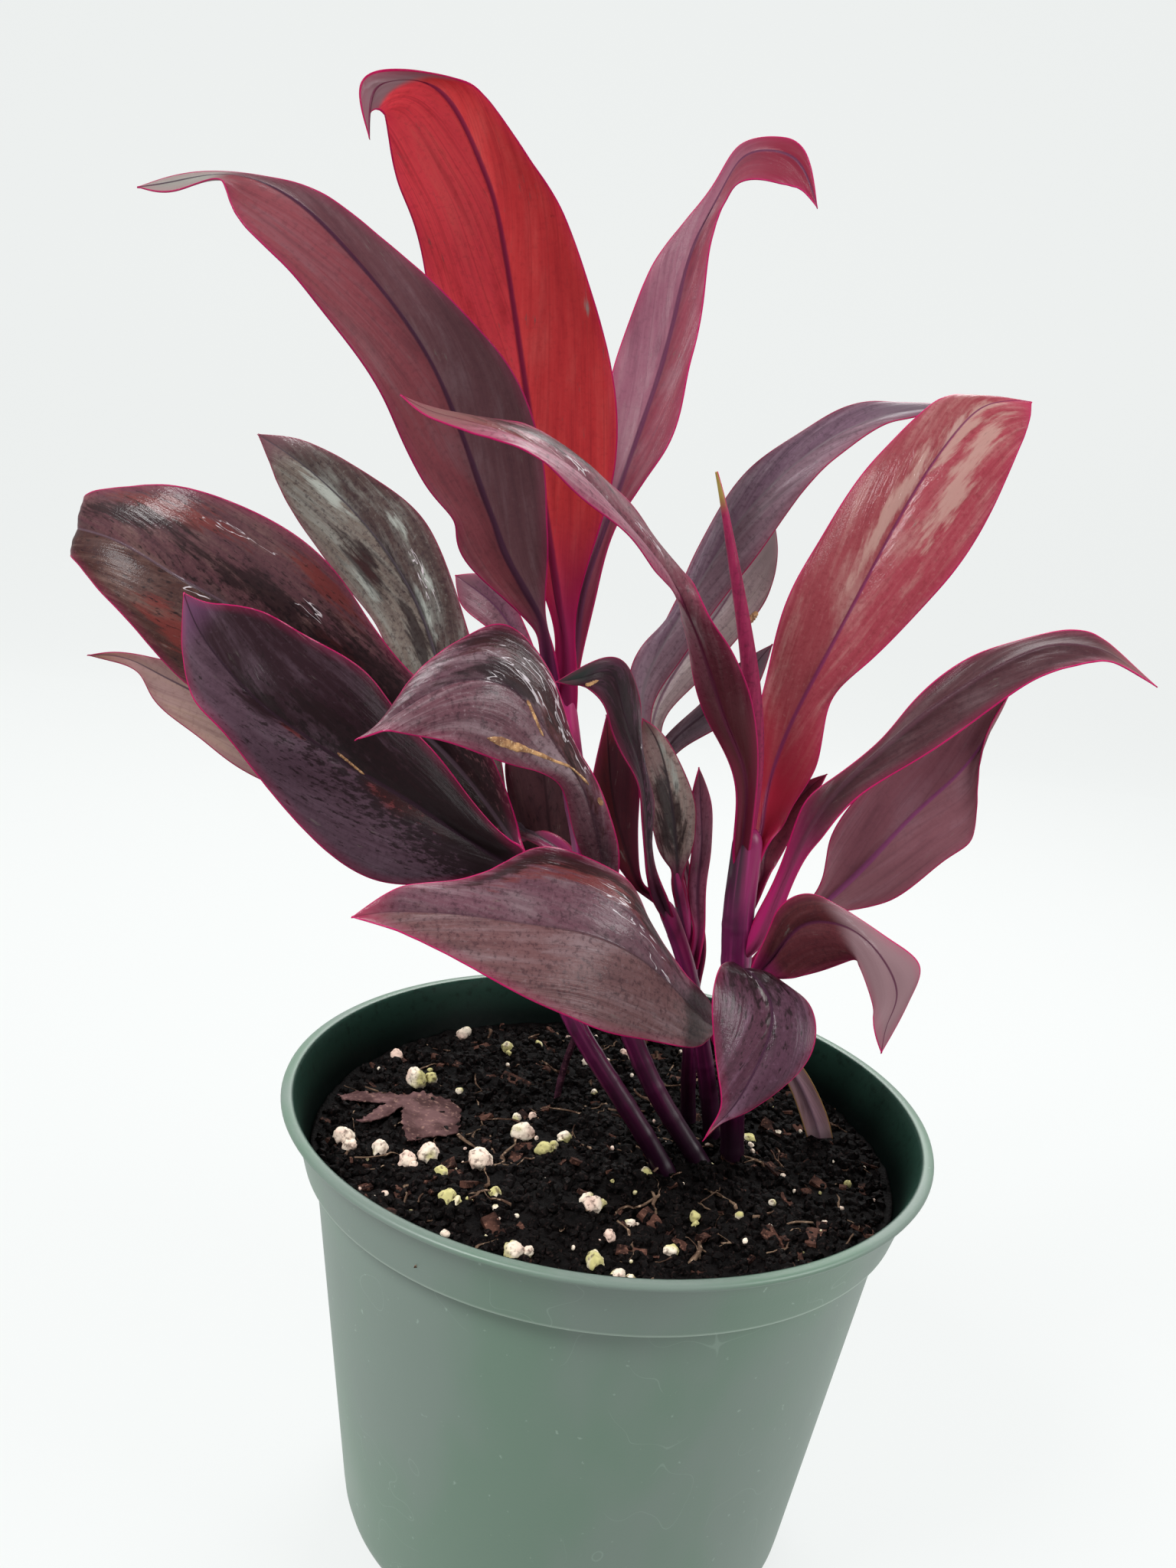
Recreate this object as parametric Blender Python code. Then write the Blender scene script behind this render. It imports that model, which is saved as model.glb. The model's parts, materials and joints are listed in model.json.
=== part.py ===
"""A potted ti plant: four canes with ribbon leaves in a round moulded nursery pot of potting mix."""

import math
import random

import bmesh
import bpy
import numpy as np
from mathutils import Vector

MM = 0.001

# Pot, in mm: a 165 mm round pot with a stepped band under a thin rolled lip
POT_SIDES = 40
POT_OUTSIDE = (
    (51.0, 0.0), (55.6, 1.2), (59.0, 4.6), (60.3, 10.0), (73.2, 102.0), (74.6, 102.3),
    (76.1, 103.2), (79.8, 117.2), (81.8, 117.4), (82.5, 118.2), (81.8, 119.0),
)
POT_INSIDE = (
    (79.9, 119.0), (79.2, 118.3), (78.2, 116.8), (74.7, 103.8), (71.9, 102.2), (58.9, 10.4),
    (57.0, 4.4), (51.0, 1.8),
)
DRAIN_RADIUS = 4.5
DRAIN_RING = 38.0
DRAIN_COUNT = 6

# Potting mix, in mm: it follows the inside of the pot with a small gap
SOIL_SIDE = ((74.3, 104.1), (71.4, 102.6), (58.5, 10.6), (56.5, 4.8), (50.8, 2.15))
SOIL_EDGE = 74.6
SOIL_RINGS = 9
SOIL_LEVEL = 105.0
HOLE_GAP = 0.35

# Leaves, in mm
BLADE_THICKNESS = 0.7
PETIOLE_THICKNESS = 1.3
LEAF_COLUMNS = (-1.0, -0.55, 0.0, 0.55, 1.0)
STEM_SIDES = 8

# Leaves from base to tip, in mm: midrib x, y, z, then the left and right margins the same way
LEAVES = {
    "leaf_tall_red": (
        (-21.4, -2, 219.8, -22.5, -2, 219.8, -20.3, -2, 219.8),
        (-22.8, -3.4, 232, -24.5, -3.4, 232, -21.1, -3.4, 232),
        (-25.5, -4, 243.5, -28, -4, 242.5, -21, -4, 244.5),
        (-29.5, -7, 260, -38, -5, 257, -17.5, -7, 262.5),
        (-35.5, -12, 283.5, -52.5, -9, 277, -17, -10, 289),
        (-43.5, -23, 316.5, -60, -21, 311, -29.5, -21, 320),
        (-48, -31, 329, -65, -30, 325, -38.5, -29, 332),
        (-53, -38, 337, -66.5, -38, 333.5, -47.5, -36, 340.5),
        (-58.5, -44, 340.5, -66, -46, 334, -54, -44, 342),
        (-64, -50, 338.5, -66, -52, 333, -63, -52, 340),
        (-66.5, -54, 334.5, -66.5, -55, 331, -68.5, -55, 336),
        (-66, -56, 327, -66, -56, 327, -66, -56, 327),
    ),
    "leaf_tall_left": (
        (-24.2, -1.9, 219.6, -25.3, -1.9, 219.6, -23.1, -1.9, 219.6),
        (-27, -8, 232, -28.5, -8, 232, -25.5, -8, 232),
        (-30, -11, 241, -32.5, -12, 239.5, -28, -10, 241.5),
        (-37, -16, 252, -46, -19, 251, -28.5, -14, 254),
        (-41, -19, 260.5, -49, -23, 259.5, -29.5, -17, 263.5),
        (-44.5, -23, 268.5, -55.5, -28, 267, -31, -20, 273.5),
        (-52.5, -31, 286.5, -63, -37, 282, -36.5, -28, 288),
        (-62.5, -37, 300.5, -74, -44, 296.5, -49, -34, 301.5),
        (-75, -39, 312, -85.5, -46, 307, -66, -35, 313.5),
        (-85.5, -38, 319, -94, -43, 315, -81.5, -34, 321.5),
        (-97.5, -35, 322, -99.5, -38, 320.5, -96.5, -32, 323.5),
        (-109.5, -31, 320.5, -109, -33, 318.5, -109, -29, 322.5),
        (-118.5, -27, 319.5, -118.5, -27, 319.5, -118.5, -27, 319.5),
    ),
    "leaf_tall_right": (
        (-21.3, 1.6, 219.4, -22.5, 1.6, 219.4, -20.1, 1.6, 219.4),
        (-20.5, 3.5, 231.5, -22, 3.5, 231.5, -19, 3.5, 231.5),
        (-20, 5, 245.5, -22, 5, 246, -17, 5, 245.5),
        (-16.5, 8, 261, -22, 8, 262, -13.5, 8, 263.5),
        (-12, 13, 279.5, -20, 14, 282, -4.5, 11, 280),
        (-7.5, 18, 299, -19, 20, 298.5, -0.5, 16, 300),
        (-5, 22, 316, -15, 24, 315, 0.5, 20, 317.5),
        (-2.5, 25, 329.5, -10, 27, 328.5, 1.5, 23, 332.5),
        (2.5, 26, 342, -0.5, 29, 342.5, 3.5, 23, 339.5),
        (7, 24, 349.5, 5, 28, 353, 7.5, 20, 343),
        (14, 19, 350, 13.5, 23, 354.5, 14, 15, 343),
        (19.5, 14, 346, 20, 16, 350, 19, 12, 341.5),
        (23.5, 9, 337, 23.5, 9, 337, 23.5, 9, 337),
    ),
    "leaf_right_arch": (
        (24.3, -7, 190.6, 23, -7, 190.6, 25.6, -7, 190.6),
        (22.5, -13, 207.5, 20, -13, 207.5, 25, -13, 207.5),
        (16.5, -16, 220, 13, -14, 219.5, 22.5, -17, 222),
        (10, -21, 233.5, 6.5, -18, 232, 17, -23, 234.5),
        (4, -28, 245, 2.5, -24, 245, 8.5, -32, 245.5),
        (-2.5, -36, 254.5, -3.5, -43, 254, 1.5, -29, 255),
        (-12, -45, 264, -13, -54, 262.5, -9.5, -36, 265),
        (-21.5, -53, 272, -22.5, -63, 270, -20.5, -43, 274.5),
        (-31.5, -59, 277, -31.5, -68, 275, -31.5, -50, 279.5),
        (-42, -62, 279.5, -42, -68, 278, -42, -56, 281),
        (-50, -63, 280.5, -50, -66, 279.5, -50, -60, 281.5),
        (-56, -63, 283, -56, -63, 283, -56, -63, 283),
    ),
    "leaf_right_red": (
        (28.9, -2.4, 190.9, 27.7, -2.4, 190.9, 30.1, -2.4, 190.9),
        (30, 3, 201, 27, 3, 201, 34.5, 3, 199),
        (32, 5, 212.5, 25.5, 6, 216, 41, 4, 210),
        (36, 6, 225.5, 26.5, 8, 228.5, 42.5, 4, 225.5),
        (42.5, 6, 243.5, 28.5, 9, 246, 51, 3, 238),
        (49.5, 8, 262, 36, 12, 265.5, 63, 4, 254),
        (56.5, 11, 278.5, 45.5, 15, 283, 72.5, 7, 270.5),
        (64, 15, 291.5, 56.5, 19, 296.5, 78, 11, 286.5),
        (72, 19, 299.5, 66.5, 22, 301.5, 81.5, 16, 295),
        (83, 22, 301.5, 83, 22, 301.5, 83, 22, 301.5),
    ),
    "leaf_right_grey": (
        (14.6, 12.6, 166, 13.7, 12.6, 166, 15.5, 12.6, 166),
        (12.2, 14.5, 173.5, 11.2, 14.5, 173.5, 13.2, 14.5, 173.5),
        (5, 20, 194, 4, 20, 194, 6, 20, 194),
        (-2, 26, 214.5, -4.5, 26, 215, 0.5, 26, 213.5),
        (0, 29, 228.5, -5.5, 29, 227.5, 5.5, 29, 226.5),
        (7, 33, 244, 2, 34, 240, 13.5, 32, 241.5),
        (15, 37, 260.5, 8, 39, 257.5, 23.5, 35, 257.5),
        (24, 40, 274, 16, 43, 274.5, 31.5, 37, 272),
        (35.5, 42, 286, 30.5, 46, 289.5, 40, 38, 283.5),
        (47.5, 43, 294, 44.5, 48, 298, 50, 39, 292.5),
        (57.5, 43, 297.5, 58, 47, 300.5, 58.5, 40, 296),
        (69, 42, 300, 69, 42, 300, 69, 42, 300),
    ),
    "leaf_right_round": (
        (17.8, 13, 157.5, 16.9, 13, 157.5, 18.7, 13, 157.5),
        (15.5, 17, 171, 14.4, 17, 171, 16.6, 17, 171),
        (6, 26, 197, 5, 26, 196.5, 7, 26, 197),
        (1.5, 34, 210.5, -2, 34, 212, 4.5, 34, 211.5),
        (6.5, 41, 224.5, -1, 43, 228.5, 12.5, 40, 222),
        (15.5, 47, 239.5, 5.5, 50, 244.5, 23, 45, 235.5),
        (22, 51, 252.5, 12.5, 54, 257.5, 29, 49, 246),
        (25.5, 53, 261, 18.5, 55, 264, 30.5, 51, 257.5),
        (28, 54, 268, 28, 54, 268, 28, 54, 268),
    ),
    "leaf_right_low_grey": (
        (19.8, 12.8, 149.5, 18.9, 12.8, 149.5, 20.7, 12.8, 149.5),
        (19.5, 17.5, 160, 18.5, 17.5, 160, 20.5, 17.5, 160),
        (12.5, 22.5, 176, 11.4, 22.5, 176, 13.6, 22.5, 176),
        (6, 24, 184.5, 5, 24, 184, 7.5, 24, 185.5),
        (4.5, 33, 200.5, 2.5, 33, 201, 7, 33, 200),
        (15, 38, 213.5, 12.5, 40, 214.5, 19, 36, 210.5),
        (24, 41, 223.5, 21.5, 43, 226, 28, 39, 221),
        (31.5, 43, 234, 31.5, 43, 234, 31.5, 43, 234),
    ),
    "leaf_bract": (
        (29.9, -0.7, 176.5, 28.9, -0.7, 176.5, 30.9, -0.7, 176.5),
        (31.8, 2.4, 181.5, 30.4, 2.4, 181.5, 33.2, 2.4, 181.5),
        (32, 5, 185, 30, 5, 186, 35, 5, 184.5),
        (35.5, 8, 194, 32, 9, 194.5, 39.5, 7, 193.5),
        (41, 10, 202, 38.5, 11, 202.5, 43.5, 9, 202),
        (45.5, 11, 206.5, 45.5, 11, 206.5, 45.5, 11, 206.5),
    ),
    "leaf_right_long": (
        (31.2, -7, 166.5, 29.9, -7, 166.5, 32.5, -7, 166.5),
        (33.5, -6.5, 173.5, 31.8, -6.5, 173.5, 35.2, -6.5, 173.5),
        (37.5, -4, 187, 35.5, -4, 188, 40, -4, 186.5),
        (42, -3, 198.5, 38.5, -2, 201, 44, -4, 194),
        (48, -3, 208, 45.5, 0, 208.5, 50.5, -5, 204.5),
        (56, -4, 218, 54.5, 0, 218, 61, -7, 214.5),
        (63.5, -6, 227, 60.5, -1, 228, 69, -10, 222.5),
        (71.5, -8, 235, 68.5, -2, 237.5, 75.5, -13, 230.5),
        (79.5, -11, 242, 77, -4, 244.5, 82, -17, 237.5),
        (87.5, -14, 246.5, 88.5, -7, 249, 88, -20, 242),
        (95.5, -17, 247, 96.5, -12, 250, 95, -21, 245),
        (102, -19, 244.5, 103, -17, 245.5, 101.5, -21, 244),
        (109.5, -20, 240.5, 109.5, -20, 240.5, 109.5, -20, 240.5),
    ),
    "leaf_right_back": (
        (31.4, 0.9, 154, 30.2, 0.9, 154, 32.6, 0.9, 154),
        (36, 4.5, 159.5, 35, 4.5, 160.6, 37, 4.5, 158.4),
        (42, 9, 164.5, 40.5, 9, 166, 43.5, 9, 163.5),
        (51, 15, 172, 48.5, 16, 175.5, 53.5, 14, 169.5),
        (61, 21, 181.5, 51.5, 24, 187.5, 68.5, 19, 173),
        (72, 26, 194.5, 60.5, 30, 201, 81.5, 23, 184),
        (81, 29, 204, 71.5, 33, 210, 89, 26, 191),
        (87, 31, 212, 79.5, 34, 218.5, 88, 28, 204.5),
        (91, 32, 220.5, 87, 34, 224.5, 89, 30, 218.5),
        (94, 33, 229, 94, 33, 229, 94, 33, 229),
    ),
    "leaf_right_curl": (
        (30.9, -7, 155.5, 29.7, -7, 155.5, 32.1, -7, 155.5),
        (32.3, -9.5, 159.5, 30.7, -9.5, 159.5, 33.9, -9.5, 159.5),
        (35, -13, 165.5, 32.5, -12, 167.5, 39, -14, 162),
        (38.5, -18, 174.5, 34.5, -14, 177, 45.5, -21, 166),
        (43.5, -24, 179, 39.5, -18, 183.5, 50, -29, 172),
        (49.5, -30, 179.5, 47.5, -25, 183, 51.5, -33, 172.5),
        (55, -36, 176, 57.5, -33, 179, 53, -36, 168.5),
        (58.5, -40, 169.5, 63, -39, 175.5, 54.5, -39, 164),
        (57, -42, 163, 60, -42, 165.5, 54.5, -42, 161),
        (56.5, -43, 156.5, 56.5, -43, 156.5, 56.5, -43, 156.5),
    ),
    "leaf_front_droop": (
        (26.5, -7.5, 151.5, 25.1, -7.5, 151.5, 27.9, -7.5, 151.5),
        (26.6, -12, 158.5, 24.6, -12, 158.5, 28.6, -12, 158.5),
        (27.5, -19, 163.5, 31, -19, 163.5, 23.5, -19, 165),
        (30, -27, 164, 36, -25, 164, 20.5, -26, 164.5),
        (32.5, -33, 161.5, 41.5, -30, 161.5, 19.5, -31, 160),
        (32.5, -38, 156, 43, -36, 155.5, 20, -36, 154),
        (29.5, -42, 148, 39.5, -41, 148.5, 21.5, -41, 147.5),
        (26, -44, 141, 30.5, -44, 140.5, 23, -44, 141),
        (22.5, -45, 136, 24, -45, 137, 21.5, -45, 136),
        (20, -46, 132.5, 20, -46, 132.5, 20, -46, 132.5),
    ),
    "leaf_front_low": (
        (26.9, -6.8, 140.5, 26.2, -6.8, 141.6, 27.5, -6.8, 139.4),
        (23.5, -14, 145.5, 23.1, -14, 147.5, 23.9, -14, 143.5),
        (19, -22, 151.5, 18.5, -26, 146.5, 19.5, -20, 155.5),
        (10.5, -31, 162, 7.5, -40, 152, 11.5, -26, 165),
        (1, -38, 171, -4.5, -50, 157.5, 1.5, -29, 180),
        (-9.5, -43, 176.5, -14, -56, 163, -7, -31, 188),
        (-21, -46, 178.5, -24.5, -58, 167.5, -22, -34, 192.5),
        (-33, -48, 179.5, -36.5, -57, 172.5, -33, -39, 187),
        (-44, -50, 180, -46, -56, 176, -44.5, -44, 185),
        (-53, -52, 179.5, -53, -55, 177.5, -52.5, -49, 183.5),
        (-60, -53, 178, -60, -53, 178, -60, -53, 178),
    ),
    "leaf_front_scarred": (
        (-4.8, -6.6, 160, -6.1, -6.6, 160, -3.5, -6.6, 160),
        (-7, -16, 175, -9, -16, 175, -4.5, -16, 175.5),
        (-9, -23, 188, -13, -23, 187, -5, -23, 188.5),
        (-11.5, -29, 197.5, -17, -29, 197, -7.5, -29, 198),
        (-15.5, -34, 207.5, -20.5, -35, 207.5, -12, -33, 208),
        (-22.5, -39, 217.5, -28, -43, 211.5, -17.5, -36, 217),
        (-29.5, -43, 226.5, -35.5, -49, 214.5, -24, -38, 230),
        (-37.5, -47, 230, -43, -54, 217.5, -33, -40, 240.5),
        (-45.5, -51, 228, -49.5, -56, 218.5, -42, -45, 238),
        (-52.5, -54, 223, -54.5, -57, 219, -52, -50, 228),
        (-57, -56, 219.5, -57.5, -57, 218, -56.5, -55, 220.5),
        (-61, -57, 216.5, -61, -57, 216.5, -61, -57, 216.5),
    ),
    "leaf_left_upper": (
        (-26.1, -7.1, 177.1, -27, -7.1, 177.1, -25.2, -7.1, 177.1),
        (-29.5, -2.5, 182, -30.5, -2.5, 180.7, -28.5, -2.5, 183.3),
        (-34, 0, 187, -36.5, 0, 184.5, -31, 0, 189),
        (-44.5, -1, 199, -49, -3, 191.5, -38.5, 1, 204),
        (-56.5, -3, 209.5, -65, -6, 198, -50.5, 0, 216.5),
        (-70.5, -5, 218.5, -79.5, -9, 206.5, -64, -1, 226.5),
        (-86, -7, 227, -95.5, -12, 211.5, -76.5, -2, 242.5),
        (-101.5, -8, 234.5, -109, -14, 216, -93, -2, 254),
        (-115, -8, 240.5, -122, -13, 228, -111, -2, 259.5),
        (-128.5, -5, 246, -133, -9, 236, -128.5, 1, 259),
        (-140, 1, 247.5, -140.5, -1, 241, -140, 4, 255.5),
        (-142, 9, 244.5, -142.5, 9, 238.5, -140, 10, 249),
        (-137.5, 17, 232, -137.5, 17, 232, -137.5, 17, 232),
    ),
    "leaf_left_lower": (
        (-26.2, -9.4, 177.1, -27.4, -9.4, 177.1, -25, -9.4, 177.1),
        (-29, -12, 180.5, -30.1, -12, 178.6, -27.9, -12, 182.4),
        (-32.5, -13, 182, -35, -13, 178.5, -29.5, -13, 185.5),
        (-43, -17, 188.5, -48.5, -20, 177, -34.5, -14, 190),
        (-53.5, -21, 195.5, -60, -27, 178, -46, -15, 202.5),
        (-65, -24, 202, -72, -32, 186.5, -57, -16, 213),
        (-76.5, -27, 209, -84, -35, 199.5, -66.5, -19, 224),
        (-87, -29, 216, -93.5, -36, 210.5, -79.5, -21, 231),
        (-95.5, -30, 224, -100.5, -35, 217, -90, -23, 236),
        (-102, -29, 231.5, -104.5, -31, 226.5, -99.5, -25, 236.5),
        (-106, -27, 238.5, -106, -27, 238.5, -106, -27, 238.5),
    ),
    "leaf_left_grey": (
        (-13.5, 1.1, 178, -14.6, 1.1, 178, -12.4, 1.1, 178),
        (-24, 6.5, 183, -25.1, 6.5, 181.6, -22.9, 6.5, 184.4),
        (-34, 11, 187, -37.5, 11, 183.5, -31, 11, 180.5),
        (-43, 16, 197.5, -52, 16, 188.5, -36.5, 16, 198.5),
        (-51, 21, 210, -60.5, 21, 202.5, -42.5, 21, 216),
        (-57.5, 26, 224.5, -68.5, 27, 220.5, -48.5, 25, 229.5),
        (-65.5, 30, 239, -77, 32, 232, -55, 29, 243.5),
        (-76.5, 33, 252, -89, 35, 244, -63, 32, 256.5),
        (-87, 35, 261, -98, 37, 254.5, -73.5, 34, 264),
        (-96.5, 36, 267.5, -104, 37, 264, -88, 35, 271),
        (-104, 37, 271.5, -106.5, 37, 269, -99.5, 37, 274),
        (-109, 37, 274, -109, 37, 274, -109, 37, 274),
    ),
    "leaf_left_mauve": (
        (-20.4, 2.7, 203.5, -21.4, 2.7, 203.5, -19.4, 2.7, 203.5),
        (-24.5, 7.5, 211, -25.7, 7.5, 211, -23.3, 7.5, 211),
        (-30, 12, 223.5, -31, 12, 222.5, -28.5, 12, 224.5),
        (-39, 18, 235.5, -43, 18, 232.5, -36.5, 18, 238.5),
        (-46.5, 22, 241, -51, 23, 237.5, -44, 21, 245.5),
        (-53.5, 25, 244.5, -53.5, 25, 244.5, -53.5, 25, 244.5),
    ),
    "leaf_far_left": (
        (-8.5, 0.6, 163, -9.5, 0.6, 163, -7.5, 0.6, 163),
        (-26, 6.5, 172.5, -26.8, 6.5, 171.2, -25.2, 6.5, 173.8),
        (-45.5, 12, 181, -46.5, 12, 179, -44.5, 12, 182.5),
        (-71, 18, 188, -73, 17, 182.5, -69, 19, 194),
        (-94, 21, 195.5, -98, 19, 186.5, -92, 23, 204),
        (-113, 22, 205, -114.5, 19, 195.5, -110, 25, 211.5),
        (-124.5, 22, 210, -127, 20, 203.5, -122, 24, 214),
        (-132.5, 21, 213.5, -132, 20, 211, -131, 22, 215.5),
        (-139, 20, 215, -139.5, 20, 213.5, -138.5, 20, 216),
        (-145, 19, 214.5, -145, 19, 214.5, -145, 19, 214.5),
    ),
    "leaf_mid_dark": (
        (9.3, 1.8, 168.5, 8.3, 1.8, 168.5, 10.3, 1.8, 168.5),
        (6, -3, 175.5, 4.5, -3, 175.5, 7.5, -3, 175.5),
        (2.5, -8, 184, 1.5, -10, 184.5, 3.5, -6, 184.5),
        (0, -12, 199, -1.5, -17, 201, 2, -7, 198),
        (-3.5, -16, 211.5, -7, -22, 212.5, -1.5, -10, 210),
        (-8, -20, 222.5, -12, -25, 222.5, -4.5, -15, 223),
        (-11.5, -25, 231, -16.5, -28, 227.5, -8.5, -22, 233),
        (-17.5, -29, 230, -19.5, -30, 228, -15, -28, 234),
        (-23.5, -31, 228.5, -23.5, -31, 228.5, -23.5, -31, 228.5),
    ),
    "leaf_mid_red": (
        (9.7, 4, 168.7, 8.8, 4, 168.7, 10.6, 4, 168.7),
        (3.5, 2.5, 173.5, 2.1, 2.5, 173.5, 4.9, 2.5, 173.5),
        (-0.5, -1, 179, -2.5, -1, 178, 1, -1, 179.5),
        (-6, -3, 192.5, -11.5, -4, 191, -1, -2, 194.5),
        (-9.5, -5, 206, -13, -6, 205, -3.5, -4, 206.5),
        (-11.5, -7, 218.5, -11.5, -7, 218.5, -11.5, -7, 218.5),
    ),
    "leaf_mid_green": (
        (11.7, 9.9, 173.7, 10.7, 9.9, 173.7, 12.7, 9.9, 173.7),
        (11, 9.5, 178.5, 9.7, 9.5, 178.5, 12.3, 9.5, 178.5),
        (10, 9, 184, 6, 9, 183.5, 13.5, 9, 186.5),
        (7.5, 8, 195, 1.5, 9, 194, 13.5, 7, 195),
        (4.5, 7, 205, -1, 8, 203, 9.5, 6, 204),
        (1.5, 6, 211.5, -2.5, 6, 211, 3.5, 6, 212.5),
        (-2.5, 5, 216.5, -2.5, 5, 216.5, -2.5, 5, 216.5),
    ),
    "leaf_mid_mauve": (
        (18.4, 9.3, 157.5, 17.5, 9.3, 157.5, 19.3, 9.3, 157.5),
        (18.3, 10.2, 164, 17.1, 10.2, 164, 19.5, 10.2, 164),
        (17, 11, 173.5, 14.5, 11, 173, 19, 11, 174),
        (16.5, 13, 184.5, 14, 11, 185, 19.5, 15, 183.5),
        (15, 14, 194.5, 12.5, 12, 194.5, 18, 16, 194.5),
        (13.5, 14, 204, 13.5, 14, 204, 13.5, 14, 204),
    ),
    "leaf_mid_brown": (
        (-9.4, 1.1, 168, -10.5, 1.1, 168, -8.3, 1.1, 168),
        (-13, 8.5, 170.5, -14.6, 8.5, 170.5, -11.4, 8.5, 170.5),
        (-19.5, 12.5, 174.5, -28, 14, 172.5, -13.5, 12.5, 175),
        (-23.5, 15, 188, -33.5, 16.5, 186.5, -14.5, 14, 188.5),
        (-26.5, 16.5, 201.5, -35.5, 18.5, 200.5, -18, 15.5, 200.5),
        (-29, 17, 214.5, -29, 17, 214.5, -29, 17, 214.5),
    ),
    "dry_strip": (
        (34, 1.4, 127, 33.7, 0.4, 127, 34.3, 2.3, 127),
        (39, 6, 131, 38.5, 4.3, 131, 39.5, 7.7, 131),
        (46, 9, 128, 44.5, 8, 126.5, 48, 10, 129.5),
        (52, 10.5, 120, 49.5, 10, 118.5, 55, 11, 121.5),
        (56, 11, 112.5, 53, 10.5, 111, 59.5, 11.5, 113.5),
        (58.5, 11.5, 106.8, 55, 11, 106.6, 62, 12, 107),
    ),
}

# Stems from the soil up: x, y, z, radius in mm
STEMS = {
    "cane_low": (
        (22.5, -14.5, 92.5, 2.7), (19.5, -13, 99.5, 2.6), (7.5, -12, 117.5, 2.5), (-10, -10, 140.5, 2.4),
        (-20, -8.5, 160, 2.3), (-25, -8.2, 176, 2.2),
    ),
    "cane_tall": (
        (29.5, -6, 94.5, 2.6), (27, -6, 102.5, 2.6), (16, -5, 117, 2.6), (5.5, -4, 134, 2.6),
        (-5.5, -3, 159, 2.7), (-13.5, -2, 185.5, 2.9), (-18.5, -1, 204, 3.1), (-22.2, -0.2, 218.4, 3.3),
    ),
    "cane_mid": (
        (31.5, 7, 93, 1.9), (27.5, 6.5, 114, 1.8), (23, 5, 132, 1.8), (16.5, 4, 153, 1.7),
        (10, 2.7, 167.5, 1.7),
    ),
    "cane_right": (
        (35, -1, 92, 2.9), (32.5, -2, 114.5, 3.1), (29.5, -3, 134, 3.3), (28, -3, 154.5, 3.6),
        (26.5, -4, 171, 3.8), (26, -4.8, 190, 3.6),
    ),
    "stalk_thin": (
        (25, 14, 93.5, 1.3), (22, 12.5, 113, 1.25), (20.5, 11.5, 129, 1.2), (18, 11, 150.5, 1.15),
        (12, 10, 173, 1.1),
    ),
    "dry_stalk": ((-13, 20, 96, 0.9), (-12.5, 19, 112, 0.9), (-9, 17, 130, 0.8)),
    "leaf_new_spike": (
        (26, -4.5, 190.5, 1.3), (25, -4.6, 208, 2.2), (22.5, -5, 224.5, 2.2), (18.5, -6, 240.5, 1.7),
        (13.5, -7, 257, 1.2), (9.5, -8, 269.5, 0.7), (7, -8.5, 276.5, 0.35),
    ),
}
ROOTED = ("cane_low", "cane_tall", "cane_mid", "cane_right", "stalk_thin", "dry_stalk")

# Leaf colours, hex as seen, with the surface roughness
PLUM = ("#5A3F48", 0.42)
MAUVE = ("#7E4A5E", 0.45)
LEAF_LOOKS = {
    "leaf_tall_red": ("#B3302C", 0.45),
    "leaf_tall_left": ("#6E4552", 0.42),
    "leaf_tall_right": MAUVE,
    "leaf_right_arch": ("#7A3444", 0.42),
    "leaf_right_red": ("#A04050", 0.4),
    "leaf_right_grey": ("#70606C", 0.5),
    "leaf_right_round": ("#84727A", 0.5),
    "leaf_right_low_grey": ("#6A5664", 0.5),
    "leaf_bract": ("#7A2C40", 0.45),
    "leaf_right_long": MAUVE,
    "leaf_right_back": MAUVE,
    "leaf_left_grey": ("#6E6866", 0.4),
    "leaf_left_mauve": MAUVE,
    "leaf_far_left": ("#8A5058", 0.5),
    "leaf_mid_red": ("#4A1018", 0.45),
    "leaf_mid_green": ("#5C625A", 0.4),
    "leaf_mid_brown": ("#3C2024", 0.45),
    "dry_strip": ("#8C6E7C", 0.7),
}

# Perlite grains on the mix, in mm: x, y, radius; more are added by a seeded rule
GRAINS = (
    (-30, -20, 3.4), (-49, 64, 2.6), (-52, 20, 3.2), (-65, -14, 2.7), (-55, -19, 2.1), (-48, -22, 2.2),
    (-43, -18, 2.8), (-39, -25, 1.9), (-21, -2, 2.8), (-10, -2, 2.0), (-2, -32, 2.7), (2, -45, 1.7),
    (22, -35, 1.4), (16, -48, 1.6), (-1, -57, 2.5), (4, -61, 2.0), (-19, -55, 2.4), (-36, -38, 2.1),
    (-25, -33, 1.7), (-15, -10, 2.1), (39, 8, 2.0), (-60, 36, 2.0), (-29, 47, 2.0), (-39, -61, 1.6),
    (8, 51, 2.1),
)
EXTRA_GRAINS = 14
BARK_CHIPS = 8
GRAIN_SEED = 7

# Fallen leaf fragment, its outline on the mix in mm
FRAGMENT = (
    (-71, 8), (-65, 11), (-56, 11), (-49, 14), (-42, 12), (-38, 8), (-37, -6), (-43, -9), (-49, -13),
    (-52, -5), (-53, 2), (-60, -7), (-63, -6), (-58, 4), (-69, 5),
)
FRAGMENT_BASE = 105.35
FRAGMENT_THICKNESS = 0.7


def clear_scene():
    for obj in list(bpy.data.objects):
        bpy.data.objects.remove(obj, do_unlink=True)


def linear(hex_colour):
    """Turn an sRGB hex colour to linear RGBA."""
    values = [int(hex_colour[i:i + 2], 16) / 255 for i in (1, 3, 5)]
    return [v / 12.92 if v <= 0.04045 else ((v + 0.055) / 1.055) ** 2.4 for v in values] + [1.0]


def material(name, hex_colour, roughness):
    mat = bpy.data.materials.new(name)
    mat.use_nodes = True
    shader = mat.node_tree.nodes["Principled BSDF"]
    shader.inputs["Base Color"].default_value = linear(hex_colour)
    shader.inputs["Roughness"].default_value = roughness
    shader.inputs["Metallic"].default_value = 0.0
    mat.diffuse_color = linear(hex_colour)
    return mat


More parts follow.
